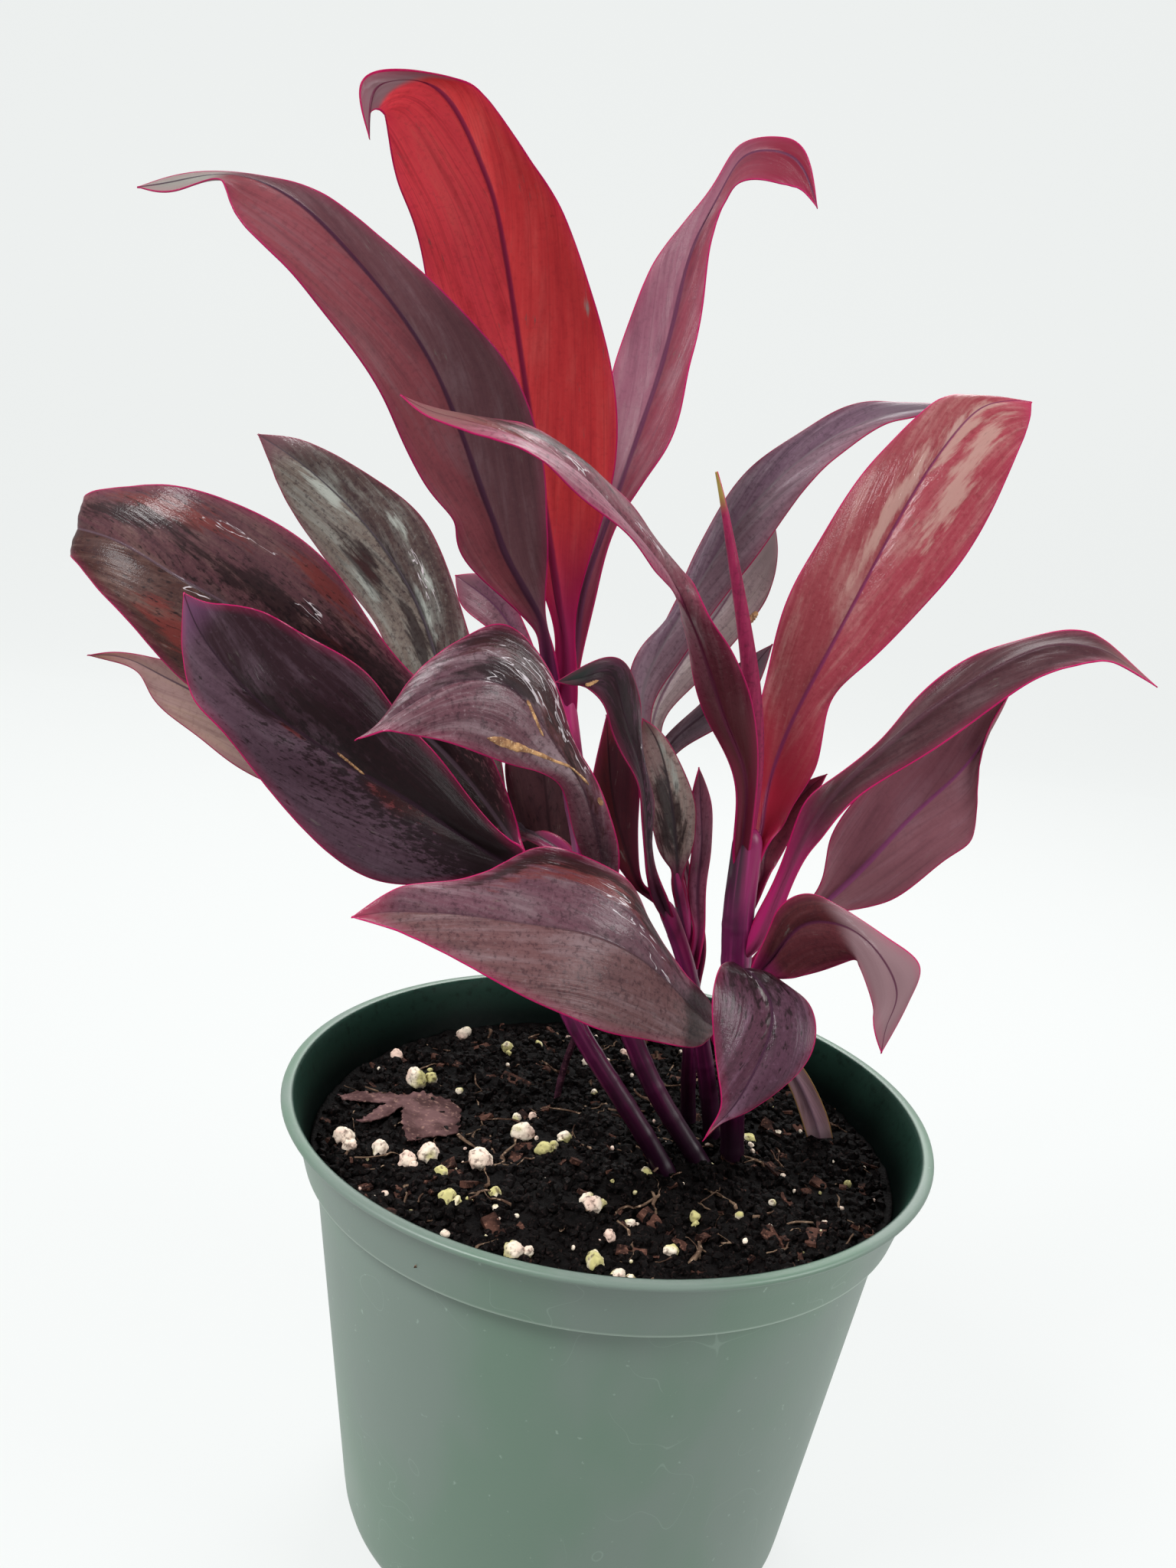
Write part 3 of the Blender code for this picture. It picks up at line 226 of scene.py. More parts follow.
        (-9, -23, 188, -13, -23, 187, -5, -23, 188.5), (-11.5, -29, 197.5, -17, -29, 197, -7.5, -29, 198),
        (-15.5, -34, 207.5, -20.5, -35, 207.5, -12, -33, 208),
        (-22.5, -39, 217.5, -28, -43, 211.5, -17.5, -36, 217),
        (-29.5, -43, 226.5, -35.5, -49, 214.5, -24, -38, 230),
        (-37.5, -47, 230, -43, -54, 217.5, -33, -40, 240.5),
        (-45.5, -51, 228, -49.5, -56, 218.5, -42, -45, 238),
        (-52.5, -54, 223, -54.5, -57, 219, -52, -50, 228),
        (-57, -56, 219.5, -57.5, -57, 218, -56.5, -55, 220.5), (-61, -57, 216.5, 0),
    ),
    "leaf_left_upper": (
        (-26.1, -7.1, 177.1, 0.9), (-29.5, -2.5, 182, -30.5, -2.5, 180.7, -28.5, -2.5, 183.3),
        (-34, 0, 187, -36.5, 0, 184.5, -31, 0, 189), (-44.5, -1, 199, -49, -3, 191.5, -38.5, 1, 204),
        (-56.5, -3, 209.5, -65, -6, 198, -50.5, 0, 216.5),
        (-70.5, -5, 218.5, -79.5, -9, 206.5, -64, -1, 226.5),
        (-86, -7, 227, -95.5, -12, 211.5, -76.5, -2, 242.5),
        (-101.5, -8, 234.5, -109, -14, 216, -93, -2, 254),
        (-115, -8, 240.5, -122, -13, 228, -111, -2, 259.5), (-128.5, -5, 246, -133, -9, 236, -128.5, 1, 259),
        (-140, 1, 247.5, -140.5, -1, 241, -140, 4, 255.5), (-142, 9, 244.5, -142.5, 9, 238.5, -140, 10, 249),
        (-137.5, 17, 232, 0),
    ),
    "leaf_left_lower": (
        (-26.2, -9.4, 177.1, 1.2), (-29, -12, 180.5, -30.1, -12, 178.6, -27.9, -12, 182.4),
        (-32.5, -13, 182, -35, -13, 178.5, -29.5, -13, 185.5),
        (-43, -17, 188.5, -48.5, -20, 177, -34.5, -14, 190),
        (-53.5, -21, 195.5, -60, -27, 178, -46, -15, 202.5), (-65, -24, 202, -72, -32, 186.5, -57, -16, 213),
        (-76.5, -27, 209, -84, -35, 199.5, -66.5, -19, 224),
        (-87, -29, 216, -93.5, -36, 210.5, -79.5, -21, 231),
        (-95.5, -30, 224, -100.5, -35, 217, -90, -23, 236),
        (-102, -29, 231.5, -104.5, -31, 226.5, -99.5, -25, 236.5), (-106, -27, 238.5, 0),
    ),
    "leaf_left_grey": (
        (-13.5, 1.1, 178, 1.1), (-24, 6.5, 183, -25.1, 6.5, 181.6, -22.9, 6.5, 184.4),
        (-34, 11, 187, -37.5, 11, 183.5, -31, 11, 180.5), (-43, 16, 197.5, -52, 16, 188.5, -36.5, 16, 198.5),
        (-51, 21, 210, -60.5, 21, 202.5, -42.5, 21, 216),
        (-57.5, 26, 224.5, -68.5, 27, 220.5, -48.5, 25, 229.5),
        (-65.5, 30, 239, -77, 32, 232, -55, 29, 243.5), (-76.5, 33, 252, -89, 35, 244, -63, 32, 256.5),
        (-87, 35, 261, -98, 37, 254.5, -73.5, 34, 264), (-96.5, 36, 267.5, -104, 37, 264, -88, 35, 271),
        (-104, 37, 271.5, -106.5, 37, 269, -99.5, 37, 274), (-109, 37, 274, 0),
    ),
    "leaf_left_mauve": (
        (-20.4, 2.7, 203.5, 1.0), (-24.5, 7.5, 211, 1.2), (-30, 12, 223.5, -31, 12, 222.5, -28.5, 12, 224.5),
        (-39, 18, 235.5, -43, 18, 232.5, -36.5, 18, 238.5), (-46.5, 22, 241, -51, 23, 237.5, -44, 21, 245.5),
        (-53.5, 25, 244.5, 0),
    ),
    "leaf_far_left": (
        (-8.5, 0.6, 163, 1.0), (-26, 6.5, 172.5, -26.8, 6.5, 171.2, -25.2, 6.5, 173.8),
        (-45.5, 12, 181, -46.5, 12, 179, -44.5, 12, 182.5), (-71, 18, 188, -73, 17, 182.5, -69, 19, 194),
        (-94, 21, 195.5, -98, 19, 186.5, -92, 23, 204), (-113, 22, 205, -114.5, 19, 195.5, -110, 25, 211.5),
        (-124.5, 22, 210, -127, 20, 203.5, -122, 24, 214),
        (-132.5, 21, 213.5, -132, 20, 211, -131, 22, 215.5),
        (-139, 20, 215, -139.5, 20, 213.5, -138.5, 20, 216), (-145, 19, 214.5, 0),
    ),
    "leaf_mid_dark": (
        (9.3, 1.8, 168.5, 1.0), (6, -3, 175.5, 1.5), (2.5, -8, 184, 1.5, -10, 184.5, 3.5, -6, 184.5),
        (0, -12, 199, -1.5, -17, 201, 2, -7, 198), (-3.5, -16, 211.5, -7, -22, 212.5, -1.5, -10, 210),
        (-8, -20, 222.5, -12, -25, 222.5, -4.5, -15, 223),
        (-11.5, -25, 231, -16.5, -28, 227.5, -8.5, -22, 233),
        (-17.5, -29, 230, -19.5, -30, 228, -15, -28, 234), (-23.5, -31, 228.5, 0),
    ),
    "leaf_mid_red": (
        (9.7, 4, 168.7, 0.9), (3.5, 2.5, 173.5, 1.4), (-0.5, -1, 179, -2.5, -1, 178, 1, -1, 179.5),
        (-6, -3, 192.5, -11.5, -4, 191, -1, -2, 194.5), (-9.5, -5, 206, -13, -6, 205, -3.5, -4, 206.5),
        (-11.5, -7, 218.5, 0),
    ),
    "leaf_mid_green": (
        (11.7, 9.9, 173.7, 1.0), (11, 9.5, 178.5, 1.3), (10, 9, 184, 6, 9, 183.5, 13.5, 9, 186.5),
        (7.5, 8, 195, 1.5, 9, 194, 13.5, 7, 195), (4.5, 7, 205, -1, 8, 203, 9.5, 6, 204),
        (1.5, 6, 211.5, -2.5, 6, 211, 3.5, 6, 212.5), (-2.5, 5, 216.5, 0),
    ),
    "leaf_mid_mauve": (
        (18.4, 9.3, 157.5, 0.9), (18.3, 10.2, 164, 1.2), (17, 11, 173.5, 14.5, 11, 173, 19, 11, 174),
        (16.5, 13, 184.5, 14, 11, 185, 19.5, 15, 183.5), (15, 14, 194.5, 12.5, 12, 194.5, 18, 16, 194.5),
        (13.5, 14, 204, 0),
    ),
    "leaf_mid_brown": (
        (-9.4, 1.1, 168, 1.1), (-13, 8.5, 170.5, 1.6),
        (-19.5, 12.5, 174.5, -28, 14, 172.5, -13.5, 12.5, 175),
        (-23.5, 15, 188, -33.5, 16.5, 186.5, -14.5, 14, 188.5),
        (-26.5, 16.5, 201.5, -35.5, 18.5, 200.5, -18, 15.5, 200.5), (-29, 17, 214.5, 0),
    ),
    "dry_strip": (
        (34, 1.4, 127, 33.7, 0.4, 127, 34.3, 2.3, 127), (39, 6, 131, 38.5, 4.3, 131, 39.5, 7.7, 131),
        (46, 9, 128, 44.5, 8, 126.5, 48, 10, 129.5), (52, 10.5, 120, 49.5, 10, 118.5, 55, 11, 121.5),
        (56, 11, 112.5, 53, 10.5, 111, 59.5, 11.5, 113.5), (58.5, 11.5, 106.8, 55, 11, 106.6, 62, 12, 107),
    ),
}

# Stems from the soil up: x, y, z, radius in mm
STEMS = {
    "cane_low": (
        (22.5, -14.5, 92.5, 2.7), (19.5, -13, 99.5, 2.6), (7.5, -12, 117.5, 2.5), (-10, -10, 140.5, 2.4),
        (-20, -8.5, 160, 2.3), (-25, -8.2, 176, 2.2),
    ),
    "cane_tall": (
        (29.5, -6, 94.5, 2.6), (27, -6, 102.5, 2.6), (16, -5, 117, 2.6), (5.5, -4, 134, 2.6),
        (-5.5, -3, 159, 2.7), (-13.5, -2, 185.5, 2.9), (-18.5, -1, 204, 3.1), (-22.2, -0.2, 218.4, 3.3),
    ),
    "cane_mid": (
        (31.5, 7, 93, 1.9), (27.5, 6.5, 114, 1.8), (23, 5, 132, 1.8), (16.5, 4, 153, 1.7),
        (10, 2.7, 167.5, 1.7),
    ),
    "cane_right": (
        (35, -1, 92, 2.9), (32.5, -2, 114.5, 3.1), (29.5, -3, 134, 3.3), (28, -3, 154.5, 3.6),
        (26.5, -4, 171, 3.8), (26, -4.8, 190, 3.6),
    ),
    "stalk_thin": (
        (25, 14, 93.5, 1.3), (22, 12.5, 113, 1.25), (20.5, 11.5, 129, 1.2), (18, 11, 150.5, 1.15),
        (12, 10, 173, 1.1),
    ),
    "dry_stalk": ((-13, 20, 96, 0.9), (-12.5, 19, 112, 0.9), (-9, 17, 130, 0.8)),
    "leaf_new_spike": (
        (26, -4.5, 190.5, 1.3), (25, -4.6, 208, 2.2), (22.5, -5, 224.5, 2.2), (18.5, -6, 240.5, 1.7),
        (13.5, -7, 257, 1.2), (9.5, -8, 269.5, 0.7), (7, -8.5, 276.5, 0.35),
    ),
}
ROOTED = ("cane_low", "cane_tall", "cane_mid", "cane_right", "stalk_thin", "dry_stalk")
# Perlite grains on the mix, in mm: x, y, radius; more are added by a seeded rule
GRAINS = (
    (-30, -20, 3.4), (-43, 55, 2.4), (-52, 20, 3.2), (-65, -14, 2.7), (-55, -19, 2.1), (-48, -22, 2.2),
    (-43, -18, 2.8), (-39, -25, 1.9), (-21, -2, 2.8), (-10, -2, 2.0), (-2, -32, 2.7), (2, -45, 1.7),
    (22, -35, 1.4), (16, -48, 1.6), (-1, -57, 2.5), (4, -61, 2.0), (-19, -55, 2.4), (-36, -38, 2.1),
    (-25, -33, 1.7), (-15, -10, 2.1), (39, 8, 2.0), (-60, 36, 2.0), (-29, 47, 2.0), (-38, -59, 1.6),
    (8, 51, 2.1),
)
# Fallen leaf fragment, its outline on the mix in mm
FRAGMENT = (
    (-71, 8), (-65, 11), (-56, 11), (-49, 14), (-42, 12), (-38, 8), (-37, -6), (-43, -9), (-49, -13),
    (-52, -5), (-53, 2), (-60, -7), (-63, -6), (-58, 4), (-69, 5),
)
FRAGMENT_BASE = 105.35
FRAGMENT_WALL = 0.35

# Leaf finish: colours of the halves that look to the front, of the back, shade, midrib, margin, tip, base
# and streaks; shares from 0 to 1 for where tip and base start and how strong the rest is. "tip_slant" is the
# share by which the tip's border runs back for each mm to the right. "under" leaves show their underside.
# Marks, by kind: share along the leaf, place across it from -1 to 1, length and width in mm. Crease-glint
# marks place painted highlights along creases; pale-sheen marks are pale patches, partly painted sheen.
LEAF_DEFAULT = {
    "left": "#58424C", "right": "#58424C", "back": "#6E4250", "shade": "#26121B", "rib": "#2E1226",
    "edge": "#A8124E", "tip": "#6A5A60", "tip_from": 0.9, "tip_blend": 0.05, "tip_slant": 0.0,
    # pale: colour of the pale patches, partly painted sheen
    "base": "#8A1F5A", "base_to": 0.2, "streak": "#8C7A82", "streaks": 0.45, "pale_sheen": "#A9AEA6",
    "specks": 0.0, "sheen": 0.5, "glow": 0.12, "sheath": 1.5, "rib_depth": 0.85, "under": False,
    "marks": {},
}
LEAF_LOOKS = {
    "leaf_tall_red": {
        "left": "#FF525E", "right": "#DE3F43", "back": "#6E6068", "shade": "#A02430", "rib": "#7A1848",
        "edge": "#C10D60", "tip": "#94737A", "tip_from": 0.88, "tip_blend": 0.014, "tip_slant": 0.006,
        "base": "#A01C5C", "base_to": 0.3, "streak": "#F3746D", "streaks": 0.35, "sheen": 0.15,
        "glow": 0.5, "sheath": 2.2, "under": True,
        "marks": {
            "dark": ((0.665, 0.8, 1.8, 1.4), (0.677, 0.72, 1.3, 1.2)),
            "pale_sheen": ((0.547, 0.9, 3.5, 1.2),),
            "crumple": ((0.93, 0.3, 20, 14),),
        },
    },
    "leaf_tall_left": {
        "left": "#823E46", "right": "#5C383E", "back": "#5E5A58", "shade": "#452830", "rib": "#35102E",
        "edge": "#A30D51", "tip": "#8E8A84", "tip_from": 0.87, "tip_blend": 0.02, "base": "#4E1442",
        "streak": "#7C6369", "streaks": 0.4, "sheen": 0.25, "glow": 0.25, "under": True,
        "marks": {"crumple": ((0.92, 0.0, 24, 12),)},
    },
    "leaf_tall_right": {
        "left": "#8C5668", "right": "#893E4D", "back": "#6A4A58", "shade": "#5E3244", "rib": "#5A2A48",
        "edge": "#B20D59", "tip": "#7E2438", "tip_from": 0.84, "base": "#6E1A34", "base_to": 0.26,
        "streak": "#9E7B83", "streaks": 0.5, "sheen": 0.2, "glow": 0.25, "under": True,
    },
    "leaf_right_arch": {
        "left": "#98566A", "right": "#7E3D4D", "back": "#6A3A48", "rib": "#5A1232", "edge": "#AA0F55",
        "tip": "#7E5A58", "base": "#4E1820", "base_to": 0.6, "streak": "#AC9C9D", "streaks": 0.4,
        "sheen": 0.6, "glow": 0.2,
        "marks": {
            "dark": ((0.82, 0.5, 40, 5),),
            "rust": ((0.9, 0.0, 26, 8),),
            "crumple": ((0.72, 0.2, 60, 8),),
            "crease_glint": ((0.74, 0.2, 20, 3), (0.6, 0.4, 20, 4)),
        },
    },
    "leaf_right_red": {
        "left": "#97434B", "right": "#A2424F", "back": "#8A3A4C", "shade": "#7E2E36", "rib": "#7C2C5A",
        "edge": "#C10B60", "tip": "#B0405A", "tip_from": 0.95, "base": "#A8203A", "base_to": 0.3,
        "streak": "#BD958E", "streaks": 0.6, "pale_sheen": "#BE9A90", "sheen": 0.45, "glow": 0.35,
        "sheath": 2.2,
        "marks": {
            "pale_sheen": ((0.66, -0.2, 44, 4.5), (0.76, 0.45, 44, 7), (0.84, 0.05, 26, 5)),
            "crumple": ((0.7, -0.1, 50, 14),),
        },
    },
    "leaf_right_grey": {
        "left": "#74596A", "right": "#816571", "back": "#604A58", "rib": "#7E6E76", "edge": "#9B1F4D",
        "tip": "#6A5A64", "base": "#6A2A50", "streak": "#A38B96", "streaks": 0.6, "sheen": 0.35,
    },
    "leaf_right_round": {
        "left": "#86757B", "right": "#988586", "back": "#6A525C", "rib": "#5E3A4C", "edge": "#891E44",
        "tip": "#8A7A7A", "base": "#6A2A50", "streak": "#AEA19A", "streaks": 0.6, "sheen": 0.3,
    },
    "leaf_right_low_grey": {
        "left": "#5A4C54", "right": "#685A62", "back": "#52424C", "rib": "#3A2430", "edge": "#801640",
        "tip": "#5E5058", "base": "#6A2A50", "streak": "#84767E", "streaks": 0.6, "sheen": 0.3,
    },
    "leaf_bract": {
        "left": "#5E2434", "right": "#6A2A38", "back": "#5A2434", "rib": "#4A1228", "edge": "#AA1155",
        "tip": "#7A2A40", "base": "#8A1848", "streak": "#7E4650", "streaks": 0.3, "glow": 0.2,
    },
    "leaf_right_long": {
        "left": "#4D2D32", "right": "#4D2C32", "back": "#5E4450", "rib": "#54303E", "edge": "#BA0F5D",
        "tip": "#7E5A58", "tip_from": 0.92, "base": "#A01C60", "base_to": 0.34, "streak": "#715A5E",
        "sheen": 0.3, "glow": 0.2, "sheath": 1.9, "rib_depth": 0.5, "under": True,
    },
    "leaf_right_back": {
        "left": "#834F5A", "right": "#81515A", "back": "#644650", "shade": "#5A3440", "rib": "#7A3464",
        "edge": "#AA1655", "tip": "#8A5A60", "base": "#A01A5C", "streak": "#95717D", "streaks": 0.4,
        "sheen": 0.15, "glow": 0.25, "under": True,
    },
    "leaf_right_curl": {
        "left": "#4C1E22", "right": "#56252B", "back": "#4A1E2C", "rib": "#4A1834", "edge": "#AA0F55",
        "tip": "#7F6368", "tip_from": 0.52, "streak": "#81555A", "streaks": 0.25, "sheen": 0.35,
    },
    "leaf_front_droop": {
        "left": "#4C2F3E", "right": "#4B2B39", "back": "#5A3A46", "rib": "#3A1A30", "edge": "#A30F51",
        "tip": "#9A7A60", "tip_from": 0.97, "streak": "#7B5D70", "streaks": 0.5, "specks": 0.5,
        "marks": {
            "dark": ((0.28, 0.1, 30, 26),),
            "pale_sheen": ((0.45, 0.1, 12, 2),),
            "crumple": ((0.34, -0.4, 20, 14), (0.28, 0.4, 14, 12)),
            "crease_glint": ((0.35, 0.1, 18, 3),),
        },
    },
    "leaf_front_low": {
        "left": "#664647", "right": "#63404B", "back": "#5E3A48", "rib": "#3E1E30", "edge": "#B20E59",
        "tip": "#8A2C44", "tip_from": 0.96, "base": "#7A1C4E", "base_to": 0.12, "streak": "#87767A",
        "streaks": 0.6, "specks": 0.2, "sheen": 0.65, "rib_depth": 0.4,
        "marks": {
            "dark": ((0.42, 0.75, 30, 5), (0.63, 0.85, 40, 5), (0.72, 0.8, 26, 4)),
            "rust": ((0.56, 0.75, 56, 8),),
            "crumple": ((0.57, 0.62, 50, 10), (0.42, 0.25, 28, 9)),
            "crease_glint": ((0.54, 0.64, 16, 5), (0.46, 0.42, 26, 3), (0.38, 0.12, 24, 3)),
        },
    },
    "leaf_front_scarred": {
        "left": "#644049", "right": "#5E3E48", "back": "#5A3440", "rib": "#3A1A2C", "edge": "#AA0E55",
        "tip": "#5A444A", "tip_from": 0.95, "base": "#5E4450", "base_to": 0.1, "streak": "#A59398",
        "streaks": 0.6, "specks": 0.12, "sheen": 0.7, "rib_depth": 0.4,
        "marks": {
            "dark": ((0.66, 0.8, 60, 10), (0.72, 0.2, 26, 7), (0.52, 0.75, 20, 5)),
            "rust": ((0.62, 0.65, 50, 10),),
            "crumple": ((0.74, 0.0, 9, 7), (0.69, 0.5, 34, 13), (0.56, 0.8, 38, 11)),
            "crease_glint": ((0.7, 0.5, 26, 7), (0.62, 0.8, 44, 7), (0.53, 0.65, 18, 4), (0.744, 0.02, 7, 5)),
        },
    },
    "leaf_left_upper": {
        "left": "#3F221E", "right": "#56343A", "back": "#62404C", "rib": "#5E4A56", "edge": "#A30B51",
        "tip": "#6A5258", "base": "#4A2A3C", "base_to": 0.1, "streak": "#7A6059", "streaks": 0.6,
        "specks": 0.8, "rib_depth": 0.6,
        "marks": {
            "dark": ((0.38, 0.25, 60, 16), (0.56, 0.3, 40, 8), (0.76, 0.5, 34, 6)),
            "rust": ((0.71, 0.68, 34, 7), (0.63, -0.6, 26, 7), (0.44, 0.3, 16, 4), (0.5, 0.8, 24, 6)),
            "crumple": ((0.64, 0.65, 40, 12), (0.54, 0.5, 20, 9), (0.62, -0.05, 16, 6)),
            "crease_glint": ((0.62, 0.72, 30, 3), (0.66, -0.05, 20, 4), (0.5, 0.45, 13, 3.5)),
        },
    },
    "leaf_left_lower": {
        "left": "#4D3743", "right": "#271119", "back": "#5A3C48", "rib": "#2A1422", "edge": "#A70B53",
        "tip": "#5E3A56", "tip_from": 0.93, "base": "#3A1A2A", "base_to": 0.12, "streak": "#6B5562",
        "specks": 1.0, "sheen": 0.35,
        "marks": {
            "dark": ((0.28, 0.45, 50, 16), (0.5, 0.3, 46, 8), (0.12, 0.0, 24, 12), (0.72, 0.0, 20, 6)),
            "rust": ((0.36, -0.1, 30, 4), (0.64, -0.05, 9, 2)),
            "crumple": ((0.77, 0.3, 18, 10), (0.57, -0.1, 12, 5)),
        },
    },
    "leaf_left_grey": {
        "left": "#6D6159", "right": "#4C3B38", "back": "#6A4A58", "rib": "#4A4048", "edge": "#801F40",
        "tip": "#6A4A50", "tip_from": 0.95, "base": "#8E2A5C", "base_to": 0.16, "streak": "#8C8D86",
        "streaks": 0.8, "specks": 0.3, "sheen": 0.7,
        "marks": {
            "dark": (
                (0.68, -0.45, 22, 8), (0.52, -0.25, 24, 5), (0.4, -0.2, 24, 7), (0.58, 0.02, 44, 2.5),
            ),
            "rust": ((0.68, -0.5, 14, 5),),
            "pale_sheen": (
                (0.84, -0.15, 18, 5), (0.66, -0.65, 18, 4), (0.56, 0.1, 18, 3), (0.73, 0.55, 10, 2.5),
                (0.62, 0.5, 9, 2.5),
            ),
            "crumple": ((0.72, 0.1, 90, 30),),
            "crease_glint": ((0.62, 0.45, 30, 3.5),),
        },
    },
    "leaf_left_mauve": {
        "left": "#7C525E", "right": "#72485A", "back": "#704A58", "rib": "#5A2E4A", "edge": "#A31651",
        "tip": "#7A5560", "base": "#7A2450", "streak": "#947884", "streaks": 0.4, "glow": 0.2,
    },
    "leaf_far_left": {
        "left": "#A98A86", "right": "#987A77", "back": "#84505A", "shade": "#6A4844", "rib": "#584450",
        "edge": "#A31C51", "tip": "#9A7A60", "tip_from": 0.96, "base": "#8A2A54", "streak": "#BB9F8A",
        "streaks": 0.55, "sheen": 0.25, "glow": 0.25,
    },
    "leaf_mid_dark": {
        "left": "#2F1621", "right": "#4D2D3E", "back": "#4A2A36", "rib": "#2A1420", "edge": "#8F0F47",
        "tip": "#2A302E", "base": "#52384A", "streak": "#654354", "specks": 0.7, "sheen": 0.3,
        "marks": {
            "dark": ((0.7, 0.0, 34, 12),),
            "crumple": ((0.72, 0.6, 18, 7),),
            "crease_glint": ((0.6, 0.5, 18, 2),),
        },
    },
    "leaf_mid_red": {
        "left": "#4A1218", "right": "#38101A", "back": "#4A141E", "rib": "#2A0A14", "edge": "#800E40",
        "tip": "#5A1A22", "base": "#4A1430", "streak": "#5E2028", "streaks": 0.3, "sheen": 0.2,
    },
    "leaf_mid_green": {
        "left": "#8B706D", "right": "#978179", "back": "#4E4A4A", "rib": "#3A2E34", "edge": "#8F1A47",
        "tip": "#5A4A44", "base": "#5A3048", "streak": "#ADB4A9", "streaks": 0.8, "sheen": 0.6,
        "marks": {
            "dark": ((0.36, -0.1, 24, 9), (0.56, -0.3, 14, 5)),
            "pale_sheen": ((0.7, 0.3, 14, 3),),
            "crumple": ((0.62, 0.0, 26, 12),),
        },
    },
    "leaf_mid_mauve": {
        "left": "#824960", "right": "#754153", "back": "#5E3E4C", "rib": "#4A2238", "edge": "#A31451",
        "tip": "#5A4048", "base": "#7A2050", "streak": "#93697F", "streaks": 0.4,
    },
    "leaf_mid_brown": {
        "left": "#3E2226", "right": "#3A2024", "back": "#46262C", "rib": "#2A1218", "edge": "#8F1047",
        "tip": "#4A2A2C", "base": "#4A1A34", "streak": "#5A3A3A", "streaks": 0.4, "specks": 0.3,
        "sheen": 0.25,
    },
    "dry_strip": {
        "left": "#8C6E7C", "right": "#94788A", "back": "#8A6A74", "rib": "#745866", "edge": "#927049",
        "tip": "#8A7078", "base": "#7A5A62", "streak": "#A88E9A", "streaks": 0.6, "sheen": 0.05,
        "glow": 0.2,
    },
}
# Canes: colour of the sheaths at their shaded left and sunny right, their own dark and magenta with painted
# shade and painted light, and how much thicker than the plain stem they look
CANE_LOOKS = {
    "cane_low": ("#4A1838", "#5A1240", 1.0), "cane_tall": ("#6A1648", "#A3235F", 1.0),
    "cane_mid": ("#6A184A", "#96205C", 1.3), "cane_right": ("#3A1A2E", "#801A50", 1.0),
    "stalk_thin": ("#5A2A4A", "#9A2A60", 1.6),
}
# Dead tissue on leaves: rows of share along the leaf, place across it from -1 to 1, and half width in mm
SCARS = (
    ("leaf_front_scarred", "scar_long", (
        (0.696, -0.77, 0.35), (0.674, -0.73, 0.8), (0.64, -0.68, 1.0), (0.607, -0.6, 0.6),
        (0.566, -0.47, 0.42), (0.53, -0.3, 0.3), (0.504, 0.0, 0.26), (0.483, 0.25, 0.24), (0.463, 0.42, 0.42),
    )),
    ("leaf_front_scarred", "scar_short", (
        (0.665, 0.04, 0.3), (0.645, -0.02, 0.45), (0.618, -0.1, 0.35), (0.595, -0.15, 0.2),
    )),
    ("leaf_front_scarred", "scar_spot", ((0.431, 0.68, 0.3), (0.421, 0.7, 0.5), (0.413, 0.72, 0.3))),
    ("leaf_left_lower", "dry_needle", ((0.533, 0.05, 0.3), (0.495, 0.03, 0.28), (0.457, 0.0, 0.22))),
    ("leaf_right_round", "scar_rim", ((0.82, 0.97, 0.5), (0.8, 0.95, 0.9), (0.775, 0.96, 0.5))),
    ("leaf_mid_dark", "scar_nick", ((0.872, -0.85, 0.35), (0.86, -0.75, 0.6), (0.85, -0.5, 0.2))),
)
NEW_LEAF_LOOK = {
    "left": "#7A1A44", "right": "#8A2048", "back": "#7A1A44", "rib": "#4A1030", "edge": "#C41C60",
    "tip": "#8E8A3C", "tip_from": 0.84, "base": "#8A1448", "streak": "#A8405C", "streaks": 0.5,
    "sheen": 0.4, "glow": 0.15,
}


def linear(hex_colour):
    """Turn an sRGB hex colour to linear RGBA."""
    values = [int(hex_colour[i:i + 2], 16) / 255 for i in (1, 3, 5)]
    lit = [v / 12.92 if v <= 0.04045 else ((v + 0.055) / 1.055) ** 2.4 for v in values]
    return (*lit, 1.0)


def fill(node, inputs):
    """Fill a node's inputs with values or links."""
    for key, value in inputs.items():
        if isinstance(value, bpy.types.NodeSocket):
            node.id_data.links.new(value, node.inputs[key])
        else:
            node.inputs[key].default_value = value


def add_node(tree, kind, inputs=None, **settings):
    """Add a node, set its properties, and fill its inputs."""
    made = tree.nodes.new(kind)
    for name, value in settings.items():
        setattr(made, name, value)
    fill(made, inputs or {})
    return made


def colour_field(name, text, hex_colour):
    """Colour property, with its default as sRGB hex."""
    return FloatVectorProperty(
        name=name, description=text, subtype="COLOR", size=4, min=0, max=1, default=linear(hex_colour)
    )


def length_field(name, text, size_mm):
    """Length property, with its default in mm."""
    return FloatProperty(
        name=name, description=text, default=size_mm * MM, min=0, unit="LENGTH", precision=5
    )


class PotSettings(bpy.types.PropertyGroup):
    """Sizes and colours of the moulded nursery pot."""

    sides: IntProperty(name="Sides", description="Faces round the pot", default=160, min=24)
    plastic: colour_field("Plastic", "Colour of the pot's outside", "#5B7363")
    inner: colour_field("Inner wall", "Colour of the shaded, soil-stained inner wall", "#050C0A")
    scuff: colour_field("Scuffs", "Colour of the fine scuffs and dust", "#8FA396")


